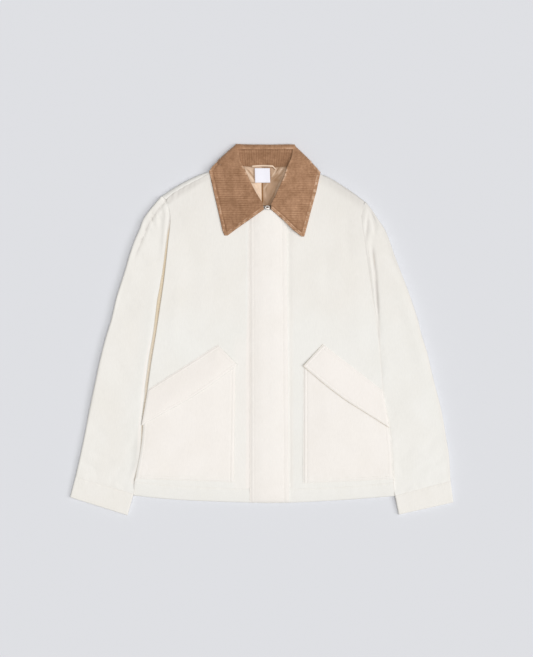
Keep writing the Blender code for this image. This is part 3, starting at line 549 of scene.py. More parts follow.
def makeFront(side, outline, shoulder, neck, halfGap):
    centreX = zipX + halfGap
    hem = sorted([p for p in hemSeam if (p[0] - zipX) * halfGap > 0] + [(centreX, centreHem)],
                 key=lambda p: abs(p[0] - zipX), reverse=True)
    centre = [(centreX, centreHem + gap / 2), (centreX, 0), (centreX, 192), (centreX, 228), (centreX, 230),
              (centreX + 8 * halfGap, 232)] + [(x + halfGap, y - 1) for x, y in neck[-2::-1]]
    past, sign = frontCut["past"][side], 1 if halfGap > 0 else -1
    hem = shift(hem, dy=-0.3)
    shoulder = [(x + sign * 0.5 * past, y + 0.85 * past - 0.2) for x, y in shoulder]
    centre[0], centre[-1] = hem[-1], shoulder[-1]
    sideSeam = [hem[0]] + outline[1:-1] + [shoulder[0]]
    plan = fourSided(hem, shoulder, sideSeam, centre)
    rows = crevices[side]

    def top(x, y, u, v):
        atSide, atCentre, atHem, atShoulder = fromEdges(u, v, frontCut["wide"], frontCut["long"])
        drop = (tableAt(rows, y, 2) * (1 - dome(atSide, 2.4)) + frontCut["centre"] * (1 - dome(atCentre, 4))
                + frontCut["hem"] * (1 - dome(atHem, 4)) + frontCut["shoulder"] * (1 - dome(atShoulder, 5)))
        atSleeve = pucker(y, atSide, 4.0 + halfGap, 6) * 0.5 * dome(atSide, 8)
        above = pucker(x, atShoulder - 4, 9.0, 9, 7) * mix(0.6, 1.3, rise(-100, -130, x))
        return frontBase(x, y) - drop + (atSleeve + above)

    def tone(u, v):
        x, y = plan(u, v)
        toShoulder = nearLine(shoulder, x, y)
        # painted shade towards the shoulder seam and darker still on the seam, lighter lower down
        near = rise(22, 2, toShoulder)
        if side == "Right":
            near = rise(14, 8, toShoulder) * mix(0.45, 1.05, rise(-100, -135, x))
        below = plainShade - 0.05 * rise(130, 20, toShoulder) - 0.17 * near + 0.06 * rise(80, -20, y)
        below = mix(below, 0.47, (0.8 if side == "Right" else 0.5) * rise(3.2, 0.8, toShoulder))
        # on the right front, painted light beside the storm flap's sewn edge where its shadow falls; on the left
        # front, a painted shadow line beside the flap's free edge
        if side == "Right":
            below += 0.20 * rise(-32, -27, x) + 0.08 * rise(-62, -48, x) * rise(10, -50, y)
        else:
            below -= 0.13 * hump(x, 56.5, 3.6) * mix(0.5, 1, rise(0, -250, y))
        # painted shade round the zip slider, then warm painted shade along the side seam in the sleeve's crevice
        beside = 0.75 * rise(12, 5, math.hypot(x - zipX, y - 234)) * rise(231.5, 234, y)
        beside += tableAt(rows, y, 3) * rise(2.6, 0.3, u * frontCut["wide"])
        return below - beside + 0.02 * uneven(x, y, 60, 15.0)

    piece, _ = flatPiece("front" + side, shares(frontCut["wide"], 3.6), shares(frontCut["long"], 3.8), plan, top,
                         lambda x, y, u, v: frontLow, tone)
    return [smoothLine(sideSeam)(i / 40) for i in range(41)]


seamRight = makeFront("Right", sideRight, shoulderRight, neckRight, -gap / 2)
seamLeft = makeFront("Left", sideLeft, shoulderLeft, neckLeft, gap / 2)

hemCut = {"backFlat": (0.508, 0.030), "backArea": 0.0145, "backWide": 505, "backLong": 28, "backTaper": 4.6,
          "frontFlat": (0.262, 0.034), "frontArea": 0.0078, "wide": 250, "long": 27.5, "taper": 8.2, "row": 3.0}


def hemDrop(v):  # how much lower the fronts' band lies towards its edge
    return hemCut["taper"] * max(0.0, 1 - v) ** 1.5


def makeHem():
    seam = shift(hemSeam, dy=-gap / 2)
    plan = fourSided(hemEdge, seam, [hemEdge[0], seam[0]], [hemEdge[-1], seam[-1]])
    backLong = hemCut["backLong"]
    piece, _ = flatPiece(
        "hemBandBack", shares(hemCut["backWide"], 6.0), shares(backLong, 3.0), plan,
        lambda x, y, u, v: backTop - hemCut["backTaper"] * (1 - v) ** 1.5 - 0.8 * (1 - dome(v * backLong, 3)),
        lambda x, y, u, v: 0.5 * (1 - dome(v * backLong, 2)) + 1.0 * (1 - dome(min(u, 1 - u) * 500, 4)))
    wide, long = hemCut["wide"], hemCut["long"]

    def top(x, y, u, v):
        atSide, _, atEdge, atSeam = fromEdges(u, v, wide, long)
        height = frontTop + 0.6 - hemDrop(v) - 2.0 * (1 - dome(atEdge, 2.4)) - 0.7 * rise(2.5, 0, atSeam)
        height += pucker(x, atSeam - 3, 21.0, 9, 7) * 0.5 + 0.3 * uneven(x, y, 16, 5.5) - 1.0 * (1 - dome(atSide, 2.5))
        return height + seamDip(atSeam - hemCut["row"], 0.35) * dome(atSide, 4)

    def tone(u, v):
        # painted shade along the seam, and warm painted shade at the band's side end in the sleeve's crevice
        return 0.81 - 0.03 * rise(4, 0, (1 - v) * long) - 0.25 * rise(2.4, 0.3, u * wide)

    rows, row = [], 1 - hemCut["row"] / long
    for side, sign in (("Right", -1), ("Left", 1)):
        edge, line = (sorted([p for p in points if (p[0] - zipX) * sign > 5] + [(zipX + sign * gap / 2, y)],
                             key=lambda p: p[0] * sign, reverse=True)
                      for points, y in ((hemEdge, -341), (seam, centreHem - gap / 2)))
        piece, surface = flatPiece(
            "hemBand" + side, shares(wide, 3.4), shares(long, 2.6, (-hemCut["row"],)),
            fourSided(edge, line, [edge[0], line[0]], [edge[-1], line[-1]]), top,
            lambda x, y, u, v: frontLow - 0.5 * hemDrop(v), tone)
        rows.append((surface, (0.01, row), (0.99, row)))
    sewRows("hemStitches", rows)


makeHem()

print("making the sleeves and cuffs")

sleeveCut = {
    "flat": (0.300, 0.590), "area": 0.097, "wide": 135, "long": 450, "slit": 1.0, "wall": 6.5,
    "crown": 3.0, "under": 9.0,
    "heights": [(0.0, 15.0), (0.2, 16.0), (0.6, 15.5), (0.9, 12.5), (1.0, 11.5)],
    "tone": {"Right": 0.76, "Left": 0.75}, "topSeam": {"Right": 7.5, "Left": 3.0},
}
sleeveOutRight = [(-196.1, 257.9), (-209, 243), (-222, 227), (-232, 212), (-239, 193), (-248, 173), (-259, 141),
                  (-268, 110), (-283, 63), (-294, 17), (-304, -15), (-316, -61), (-326, -108), (-336, -155),
                  (-345, -202), (-354, -245), (-364, -289)]
sleeveOutLeft = [(202, 247), (213, 233), (225, 215), (238, 196), (248, 173), (259, 141), (271, 110), (283, 79),
                 (294, 48), (304, 17), (312, -15), (322, -46), (333, -93), (341, -124), (349, -155), (355, -186),
                 (360, -217), (365, -249), (368, -297)]
sleeveEnds = {"Right": (-250.2, -322), "Left": (259.2, -326)}
sleeveFolds = [
    ((-186, 243), (-195, 140), 4.5, 1.7, 1), ((-200, 232), (-198, 196), 4, -1.0, 1),
    ((-214, 232), (-215, 206), 3, -1.1, 1), ((-226, 205), (-214, 176), 5, -1.0, -1),
    ((-206, 90), (-238, -140), 13, 1.2, 3), ((-292, 75), (-252, 20), 15, -1.2, 2),
    ((-330, -245), (-290, -262), 8, -1.3, 1), ((-262, 60), (-236, 40), 8, -0.8, 1),
    ((-300, -60), (-262, -96), 12, -0.8, 2), ((-248, 150), (-222, 120), 9, -0.8, 1),
    ((-330, -190), (-300, -215), 9, -0.8, 1), ((-350, -262), (-322, -276), 5, -1.0, 1),
    ((-290, -285), (-268, -270), 6, -0.8, -1), ((-244, -200), (-262, -250), 7, -0.8, 1),
    ((203, 241), (199, 202), 3.4, 1.6, 0), ((206.7, 212), (203.5, 178), 2.8, -1.8, 1),
    ((213, 228), (220, 184), 2.6, -2.4, 2), ((226, 212), (232, 190), 4, 0.8, 1),
    ((216, 160), (226, -20), 3.4, -2.4, 2), ((206, 165), (221, 10), 5, 1.6, 1), ((262, 100), (318, -100), 12, 1.2, 3),
    ((318, -240), (345, -205), 9, -1.3, 1), ((240, 150), (262, 120), 8, -0.8, -1),
    ((262, 20), (296, -6), 12, -0.8, -2), ((282, -90), (322, -112), 12, -0.7, -2),
    ((330, -262), (356, -246), 6, -0.8, -1), ((276, -252), (292, -232), 8, -0.8, 1),
    ((300, -282), (330, -262), 6, -0.7, 1),
]
sleeveCreases = [  # painted shade, darker and warmer, in deep folds: start, end, half width, how much, bend
    ((216, 158), (221, 110), 2.4, 0.40, 0), ((221, 110), (226, 30), 2.6, 0.36, 0),
    ((226, 30), (229, -30), 2.4, 0.2, 0), ((207.5, 218), (203.5, 172), 1.8, 0.36, 0),
    ((213, 228), (220, 184), 1.8, 0.16, 1), ((-215, 232), (-215, 206), 2.5, 0.14, 1),
]


def makeTube(name, plan, us, vs, height, relief, cut, tone, lies=lambda y: 0.0):
    # a flat tube of cloth: u 0 to 1 is its upper layer, 1 to 2 its lower one; lies is 1 where its u = 1 side
    # meets the body
    crown, known = cut["crown"], {}

    def widthAt(v):
        if v not in known:
            known[v] = (plan(1.0, v) - plan(0.0, v)).length
        return known[v]

    def outer(u, v):
        share, width = u if u <= 1 else 2 - u, widthAt(v)
        atOut, atIn = share * width, (1 - share) * width
        x, y = plan(share, v)
        closed = lies(y)
        if u <= 1:
            full = dome(atOut, crown) * mix(dome(atIn, crown), 1.0, closed)
            inside = min(atOut, atIn + 6 * closed)
            return Vector((x, y, height(v) - crown * (1 - full) + relief(x, y, u, v) * rise(0, 6, inside)))
        return Vector((x, y, (height(v) - crown) * (1 - dome(min(atOut, atIn), cut["under"])) ** 0.8))

    def inner(u, v):
        share, width, wall = u if u <= 1 else 2 - u, widthAt(v), cut["wall"]
        x, y = plan((wall + share * (width - 2 * wall)) / width, v)
        half = cut["slit"] / 2 * dome(min(share, 1 - share) * width, 12)
        return Vector((x, y, height(v) / 2 + (half if u <= 1 else -half)))

    return makeWall(name, us, vs, outer, inner, tone, closed=True), outer


def tubeShares(width, step, lowStep, edge, rows=()):
    upper = shares(width, step, rows, edge)
    lower = [1 + s for s in shares(width, lowStep, (), (0.8, 2.5, 5.0, 9.0))[1:-1]]
    return upper + lower


def makeSleeve(side, outline, outerFold, lipEnd, sign):
    wide, long = sleeveCut["wide"], sleeveCut["long"]
    meets = [(xAt(outline, y) - sign * 0.5, y) for y in (238, 226, 204, 170, 134, 100, 70)]
    freeFold = [(xAt(outline, y) - sign * 0.9, y) for y in (40, 5, -30, -81, -124, -170, -205, -241, -275, -297)]
    plan = fourSided([outerFold[0]] + lipEnd + meets + [freeFold[0]], [outerFold[-1], sleeveEnds[side]], outerFold,
                     freeFold + [sleeveEnds[side]])
    topSeam, rows = sleeveCut["topSeam"][side], crevices[side]

    def height(v):
        return tableAt(sleeveCut["heights"], v) - 0.6 * rise(4, 0, (1 - v) * long)

    def lies(y):
        return rise(-331, -320, y)

    def relief(x, y, u, v):
        soft = 0.9 * uneven(x, y, 58, 12.3) + 0.35 * uneven(x, y, 24, 1.9)
        atSeam, atCuff, atFold = nearLine(outline, x, y), (1 - v) * long, min(u, 1 - u) * wide
        lines = (foldHeight(sleeveFolds, x, y) + soft) * rise(0, 7, atSeam) * rise(0, 16, atCuff)
        lines += (frontBase(x, y) + 0.1 - height(v)) * rise(15, 0, atSeam) * rise(-300, -270, y)
        lines -= tableAt(rows, y, 2) * (1 - dome(atSeam - tableAt(rows, y, 1), 2.4)) * lies(y)
        if side == "Right" and u < 0.5:
            lines += seamDip(atFold - topSeam, 1.3, 1.2) * rise(120, 175, y)
            lines += pucker(y + 1.4 * x, atFold - topSeam - 3, 35.0, 8, 5.5) * 3.4 * rise(140, 200, y)
        return lines + pucker(y, atSeam - 5, 31.0, 7) * 0.6 + pucker(u * 115, atCuff, 33.0, 16, 11) * 1.1

    def tone(u, v):
        # painted warm shade on the lower layer's strip that faces into the crevice
        if u > 1:
            return (0.3 if side == "Right" else 0.5) if u < 1.06 else plainShade
        x, y = plan(u, v)
        atSeam, atFold = nearLine(outline, x, y), u * wide
        # painted shade in the deep creases, then warm painted shade along the crevice by the body
        here = sleeveCut["tone"][side] - foldHeight(sleeveCreases, x, y) + 0.02 * uneven(x, y, 60, 15.0)
        here -= tableAt(rows, y, 3) * rise(2.2, 0.4, atSeam - tableAt(rows, y, 1)) * lies(y)
        if side == "Right":
            # painted highlight on the fold's edge beside the crevice, then painted shade in dashes along the top seam
            here += 0.2 * hump(atSeam, tableAt(rows, y, 1) + 4.4, 1.8) * rise(40, -60, y)
            toneBand = (0.22 + 0.3 * uneven(x, y, 5, 4.5)) * hump(atFold, topSeam, 1.5) * rise(120, 180, y)
            return here + 0.06 * rise(0.4, 0.95, u) - toneBand
        # painted shade near the outer fold's edge and towards the shoulder, lighter lower down
        return here + 0.06 * rise(110, 0, y) - 0.10 * rise(7, 1, atFold) - 0.06 * rise(190, 235, y)

    us = tubeShares(wide, 3.2, 9.0, (0.3, 1.0, 2.0, 3.4, 5.2), (topSeam,))
    piece, surface = makeTube("sleeve" + side, plan, us, shares(long, 3.0), height, relief, sleeveCut, tone, lies)
    return [(surface, (0.30, 14.0 / long), (0.93, 14.0 / long))]


sleeveRows = makeSleeve("Right", seamRight, sleeveOutRight, [(-190.3, 254.5), (-185.0, 251.2), (-184.0, 249.2)], -1.0)
sleeveRows += makeSleeve("Left", seamLeft, sleeveOutLeft, [], 1.0)
sewRows("armholeStitches", sleeveRows)

cuffCut = {"flat": (0.236, 0.040), "area": 0.0090, "wide": 117, "long": 37, "height": 11.5, "open": 8.0,
           "rows": (3.0, 34.0), "wall": 5.0, "slit": 0.8, "crown": 2.4, "under": 6.5,
           "right": [(-375, -329.5), (-262.5, -365)], "left": [(374, -339.5), (267, -363.5)]}


def makeCuff(side, outSeam, inSeam, lowOut, lowIn):
    outSeam, inSeam, lowOut, lowIn = (Vector(p) for p in (outSeam, inSeam, lowOut, lowIn))
    outSeam -= (lowOut - outSeam).normalized() * gap
    inSeam -= (lowIn - inSeam).normalized() * gap
    plan = fourSided([outSeam, inSeam], [lowOut, lowIn], [outSeam, lowOut], [inSeam, lowIn])
    wide, long = cuffCut["wide"], cuffCut["long"]

    def height(v):
        ends = 0.6 * rise(3, 0, v * long) + 1.6 * (1 - dome((1 - v) * long, 2.4))
        return mix(cuffCut["height"], cuffCut["open"], v) - ends

    def relief(x, y, u, v):
        along = v * long
        return (seamDip(along - cuffCut["rows"][0]) + seamDip(along - cuffCut["rows"][1], 0.35)
                + pucker(u * 115, along - 3, 41.0, 8, 8) * 0.6 + 0.35 * uneven(x, y, 18, 6.1))

    us = tubeShares(wide, 3.0, 9.0, (0.3, 1.0, 2.2, 4.0, 6.4))
    # the cuff's tone: painted shade along its seam with the sleeve
    piece, surface = makeTube("cuff" + side, plan, us, shares(long, 2.4, cuffCut["rows"]), height, relief, cuffCut,
                              lambda u, v: 0.755 - 0.08 * rise(3, 0, v * long))
    return [(surface, (0.05, row / long), (0.95, row / long)) for row in cuffCut["rows"]]


cuffRows = makeCuff("Right", sleeveOutRight[-1], sleeveEnds["Right"], *cuffCut["right"])
cuffRows += makeCuff("Left", sleeveOutLeft[-1], sleeveEnds["Left"], *cuffCut["left"])
sewRows("cuffStitches", cuffRows)

print("making the pockets and flaps")

pocketCut = {
    "right": {"lowOut": (-247, -293), "lowIn": (-54, -300), "topIn": (-51, -74), "topOut": (-229.5, -160)},
    "left": {"lowOut": (255, -294), "lowIn": (79.5, -302), "topIn": (80.5, -74), "topOut": (241.5, -160)},
    "cloth": 1.5, "puff": 1.4, "rows": (1.6, 8.0), "flat": (0.190, 0.228), "area": 0.0310,
}
flapCut = {
    "right": {"topIn": (-86, -31), "lowIn": (-47, -71), "lowOut": (-234.5, -189), "topOut": (-222, -119)},
    "left": {"topIn": (119, -30), "lowIn": (79.5, -73), "lowOut": (247, -193), "topOut": (235, -120)},
    "cloth": 1.8, "sag": 7.0, "long": 60, "rows": (1.6, 6.8), "flat": (0.208, 0.068), "area": 0.0108,
    "lift": {"right": 0.2, "left": 1.0},
}


def pocketPuff(side, x, y):  # how far a pocket's cloth stands over its front, 0 at its sewn edges
    at = pocketCut[side]
    inner = abs(offLine(at["lowIn"], at["topIn"], x, y))
    outer = abs(offLine(at["lowOut"], at["topOut"], x, y))
    below = abs(offLine(at["lowOut"], at["lowIn"], x, y))
    return pocketCut["puff"] * rise(4, 48, inner) * rise(4, 44, outer) * rise(4, 52, below)


def cornersOf(table):
    at = {key: Vector(table[key]) for key in ("lowOut", "lowIn", "topIn", "topOut")}
    widths = (at["lowIn"] - at["lowOut"]).length, (at["topIn"] - at["topOut"]).length
    return at, widths


def makePocket(side):
    at, widths = cornersOf(pocketCut[side])
    lengths = (at["topOut"] - at["lowOut"]).length, (at["topIn"] - at["lowIn"]).length
    bulge = at["lowOut"].lerp(at["topOut"], 0.5) + Vector((3.2, 0))
    plan = fourSided([at["lowOut"], at["lowIn"]], [at["topOut"], at["topIn"]], [at["lowOut"], bulge, at["topOut"]],
                     [at["lowIn"], at["topIn"]])
    stitchDepth = {"right": 0.42, "left": 0.6}[side]
    rows = pocketCut["rows"]

    def low(x, y, u, v):
        return frontBase(x, y) + gap + pocketPuff(side, x, y)

    def top(x, y, u, v):
        atOut, atIn, atLow, atTop = fromEdges(u, v, mix(*widths, v), mix(*lengths, u))
        full = rise(-0.6, 4.5, min(atOut, atIn, atLow, atTop + 1.5))
        height = low(x, y, u, v) + pocketCut["cloth"] * mix(0.28, 1.0, full)
        for row in rows:
            height += seamDip(atIn - row, stitchDepth) + seamDip(atOut - row, 0.2) + seamDip(atLow - row, 0.42)
        height += pucker(y, atIn - 5, 51.0, 10, 12) * 0.35 + pucker(x, atLow - 5, 52.0, 12, 12) * 0.5
        return height + 0.3 * uneven(x, y, 30, 7.7)

    def tone(u, v):
        # painted warm shade along the pocket's edges, more along the right pocket's outer side
        edges = 0.05 * rise(0.14, 0.0, v) + 0.3 * rise(1.2, 0, min(u, 1 - u, v) * 170)
        return 0.98 - edges - 0.25 * (side == "right") * rise(4, 1, u * 180)

    us = shares(sum(widths) / 2, 3.4, rows + tuple(-r for r in rows))
    vs = shares(sum(lengths) / 2, 3.4, rows)
    piece, surface = flatPiece("pocket" + side.title(), us, vs, plan, top, low, tone)
    made = []
    for row in rows:
        (outLow, outHigh), base = (row / width for width in widths), row / (sum(lengths) / 2)
        made += [(surface, (1 - outLow, base), (1 - outHigh, 0.985)), (surface, (outLow, base), (outHigh, 0.985)),
                 (surface, (outLow, base), (1 - outLow, base))]
    return made


def makeFlap(side):
    at, widths = cornersOf(flapCut[side])
    sag = (at["lowIn"] + at["lowOut"]) / 2 + Vector((0, -flapCut["sag"]))
    plan = fourSided(
        [at["lowIn"], at["lowIn"].lerp(sag, 0.5) + Vector((0, -2)), sag, sag.lerp(at["lowOut"], 0.5), at["lowOut"]],
        [at["topIn"], at["topOut"]], [at["lowIn"], at["topIn"]], [at["lowOut"], at["topOut"]])
    lengths = (at["topIn"] - at["lowIn"]).length, (at["topOut"] - at["lowOut"]).length
    lift, long, rows = flapCut["lift"][side], flapCut["long"], flapCut["rows"]

    def low(x, y, u, v):
        over = pocketCut["cloth"] + gap + pocketPuff(side, x, y) + 0.4
        free = lift * rise(22, 0, v * long) + 0.5 * lift * rise(16, 0, u * widths[0]) * (1 - v)
        return frontBase(x, y) + gap + over * rise(1.0, 0.15, v) + free

    def top(x, y, u, v):
        atEnd, atOut, atLow, atTop = fromEdges(u, v, mix(*widths, v), mix(*lengths, u))
        full = mix(0.35, 1.0, rise(-0.6, 4.0, min(atEnd, atLow, atOut))) * mix(0.25, 1.0, rise(-0.6, 5.0, atTop))
        height = low(x, y, u, v) + flapCut["cloth"] * full
        middle = rise(6, 22, min(atEnd, atLow, atTop))
        height += 0.5 * middle + 0.3 * uneven(x, y, 26, 4.4) * middle
        for row in rows:
            height += seamDip(atEnd - row, 0.4) + seamDip(atLow - row, 0.4) + seamDip(atTop - row, 0.35)
        return height + pucker(x, atLow - 4, 61.0, 8, 10) * 0.4 + pucker(x, atTop - 4, 62.0, 8, 10) * 0.4

    def tone(u, v):
        # painted shadow along the flap's inner end and lower edge, stronger on the left flap, and painted shade along
        # its sewn top
        edge = (0.4 if side == "right" else 0.85) * rise(1.5, 0, min(u * 200, v * long))
        return 1.0 - edge - 0.12 * rise(2, 0, (1 - v) * long)

    us = shares(sum(widths) / 2, 3.0, rows)
    vs = shares(58, 2.6, rows + tuple(-r for r in rows))
    piece, surface = flatPiece("pocketFlap" + side.title(), us, vs, plan, top, low, tone)
    made = []
    for row in rows:
        low0, high0, first, last = row / widths[0], row / widths[1], row / lengths[0], row / lengths[1]
        made += [(surface, (low0, first), (0.99, last)), (surface, (high0, 1 - first), (0.99, 1 - last)),
                 (surface, (low0, first), (high0, 1 - first))]
    return made


sewRows("pocketStitches", makePocket("right") + makePocket("left"))
sewRows("flapStitches", makeFlap("right") + makeFlap("left"))

print("making the storm flap")

placketCut = {"sewn": [(-25, 231.3), (-24, -339)], "free": [(49, 231.3), (51, 0), (54, -339)], "cloth": 2.0,
              "wide": 76.0, "long": 567, "rows": {1.6: 0.2, 8.4: 0.35, -10.2: 0.35, -3.0: 0.35},  # place and depth
              "flat": (0.078, 0.569), "area": 0.0430, "overZip": 1.4, "overPull": 1.4,
              "ripples": [(196, -0.7, 6), (182, 0.5, 8), (114, -0.5, 5), (75, -0.4, 5), (-60, -0.3, 7),
                          (-190, -0.3, 8)]}  # place, height and half width


def placketLow(x, y):
    overZip = rise(-24, 6, x) * rise(50, 17, x)
    band = 0.5 * rise(-305, -313, y) - hemDrop((y + 340) / 27) * (y < -313)
    high = placketCut["overZip"] + placketCut["overPull"] * rise(178, 206, y)
    return frontBase(x, y) + gap + band + high * overZip


def makePlacket():
    sewn, free = placketCut["sewn"], placketCut["free"]
    plan = fourSided([sewn[-1], free[-1]], [sewn[0], free[0]], sewn[::-1], free[::-1])
    wide, long, seams = placketCut["wide"], placketCut["long"], placketCut["rows"]

    def top(x, y, u, v):
        atSewn, atFree, atHem, atNeck = fromEdges(u, v, wide, long)
        height = placketLow(x, y) + placketCut["cloth"] - 1.4 * rise(4, -0.6, min(atHem, atNeck))
        height -= 1.6 * rise(8.0, -0.6, atSewn) + 0.8 * rise(4.0, -0.6, atFree)
        for row, depth in seams.items():
            off = atSewn - row if row > 0 else atFree + row
            height += seamDip(off, depth) + pucker(y, off, 71.0 + row, 6, 10) * 0.3
        middle = rise(10, 22, atSewn) * rise(12, 24, atFree)
        ripples = sum(high * hump(y, at, reach) for at, high, reach in placketCut["ripples"])
        return height + (0.35 + ripples + 0.35 * uneven(x, y, 34, 9.9)) * middle

    def tone(u, v):
        # lighter along the sewn edge, painted shade along the free edge and at the neck end
        return 0.97 + 0.03 * rise(5, 2, u * wide) - 0.16 * rise(1.8, 0, (1 - u) * wide) - 0.03 * rise(0.93, 1.0, v)

    piece, surface = flatPiece("stormFlap", shares(wide, 2.6, seams), shares(long, 3.0), plan, top,
                               lambda x, y, u, v: placketLow(x, y), tone)
    sewn = [row / wide if row > 0 else 1 + row / wide for row in seams]
    sewRows("stormFlapStitches", [(surface, (u, 0.004), (u, 0.996)) for u in sewn])


makePlacket()

print("making the collar")

leafCut = {
    "inRight": [(-67, 181), (-48, 195), (-22, 213), (4.0, 231.5), (2.0, 243), (-13, 267), (-24.5, 290), (-35, 313.5),
                (-41.5, 325), (-47, 349)],
    "outRight": [(-73, 181), (-77, 190), (-84, 222), (-94, 265), (-103, 306)],
    "inLeft": [(77, 179), (60, 192), (41, 211), (17.3, 231.5), (17.9, 243), (25, 257), (32, 272.5), (42, 294),
               (49, 315), (56.5, 331), (61, 349)],
    "outLeft": [(82, 179), (85, 189), (96, 231), (106, 267), (114, 304)],
    "cornerRight": (-105, 310), "cornerLeft": (114, 308), "creaseRight": (-52, 360), "creaseLeft": (62, 360),
    "outwardRight": (-0.68, 0.73), "outwardLeft": (0.70, 0.71), "across": 0.0205, "backWales": 24,
    "cloth": 3.2, "wale": 4.4, "waleHeight": 0.28, "samples": 6, "lift": 5.3, "past": (14.0, 78.0), "backZ": 14.0,
    "border": 6.5, "flat": (0.092, 0.470), "area": 0.0315,
}


def leafLift(x, y):  # how far the leaf's underside is over the fronts
    up = rise(212, 330, y)
    right = rise(mix(-72, -100, up), mix(-28, -52, up), x)
    left = rise(mix(98, 112, up), mix(55, 64, up), x)
    return leafCut["lift"] * min(right, left) * mix(1.0, 0.5, rise(238, 268, y))


def leafHalf(side):
    # lines across one half of the leaf, from its tip to where it turns along the back of the neck
    inner, outer = leafCut["in" + side], leafCut["out" + side]
    corner, crease, out = (Vector(leafCut[key + side]) for key in ("corner", "crease", "outward"))
    low, high = inner[0][1], outer[-1][1]
    samples, past = leafCut["samples"], leafCut["past"]
    overFront = onFront + 1.6
    count = samples * round((high - low) / leafCut["wale"])
    lines = []
    for i in range(count + 1):
        y = mix(low, high, i / count)
        lines.append({"inner": Vector((xAt(inner, y), y)), "fold": Vector((xAt(outer, y), y)), "turned": 0.0,
                      "out": out, "past": 0.0, "innerZ": 0.0, "foldZ": 0.0, "phase": i / samples})
    turning = samples * 12
    for i in range(1, turning + 1):
        share = i / turning
        y = mix(high, 349.0, share)
        overNeck = rise(0.45, 1.0, share)
        start = Vector((xAt(outer, high), high))
        toCrease = rise(-0.02, 1.0, share) if share < 0.12 else share
        lines.append({
            "inner": Vector((xAt(inner, y), y)), "turned": rise(0.0, 0.25, share),
            "fold": start.lerp(corner, min(1.0, share / 0.12)).lerp(crease, toCrease),
            "out": out.lerp(Vector((0, 1)), 0.6 * rise(0.7, 1.0, share)).normalized(),
            "past": past[0] * rise(0.0, 0.22, share) + (past[1] - past[0]) * max(0.0, (share - 0.2) / 0.8) ** 1.5,
            "innerZ": mix(overFront + 0.5 * leafCut["lift"], leafCut["backZ"], overNeck),
            "foldZ": mix(overFront + 1.5, leafCut["backZ"], overNeck), "phase": (count + i) / samples,
        })
    return lines


def leafLines():
    right, left, up = leafHalf("Right"), leafHalf("Left"), Vector((0, 1))
    last, count, back = right[-1], leafCut["backWales"] * leafCut["samples"], []
    for i in range(1, count):
        share = i / count
        out = last["out"].lerp(up, rise(0, 0.12, share)).lerp(left[-1]["out"], rise(0.88, 1, share))
        back.append({
            "inner": last["inner"].lerp(left[-1]["inner"], share), "out": out.normalized(), "turned": 1.0,
            "fold": last["fold"].lerp(left[-1]["fold"], share) - Vector((0, 0.6 * math.sin(math.pi * share))),
            "past": leafCut["past"][1], "innerZ": leafCut["backZ"], "foldZ": leafCut["backZ"],
            "phase": last["phase"] + i / leafCut["samples"],
        })
    return right + back + left[::-1]


def leafPlace(line, q):  # middle of the wall at share q from the inner edge to the outer one
    inner, fold, turned = line["inner"], line["fold"], line["turned"]
    flat = inner.lerp(fold, q)
    flatPoint = Vector((flat.x, flat.y, onFront + leafCut["cloth"] / 2 + leafLift(flat.x, flat.y)))
    if turned == 0.0:
        return flatPoint
    out, lowZ = line["out"], leafCut["cloth"] / 2
    way = (fold - inner).normalized()
    radius = (line["foldZ"] - lowZ) / 2
    level = (fold - inner).length - (radius + leafCut["cloth"] / 2) / way.dot(out)
    past = line["past"]
    bounds = mix(1.0, 0.4, turned), mix(1.0, 0.72, turned)
    rolled = min(math.pi * radius, past * 0.95)
    if q <= bounds[0]:
        along = level * q / bounds[0]
    elif q <= bounds[1]:
        along = level + rolled * (q - bounds[0]) / max(1e-6, bounds[1] - bounds[0])
    else:
        along = level + rolled + (past - rolled) * (q - bounds[1]) / max(1e-6, 1 - bounds[1])
    beyond = along - level
    if beyond <= 0:
        spot = inner + way * along
        place = Vector((spot.x, spot.y, mix(line["innerZ"], line["foldZ"], along / level)))
    else:
        angle = min(beyond / radius, math.pi)
        spot = inner + way * level + out * radius * math.sin(angle)
        spot.y -= max(0.0, beyond - math.pi * radius)
        place = Vector((spot.x, spot.y, lowZ + radius + radius * math.cos(angle)))
    return flatPoint.lerp(place, turned)


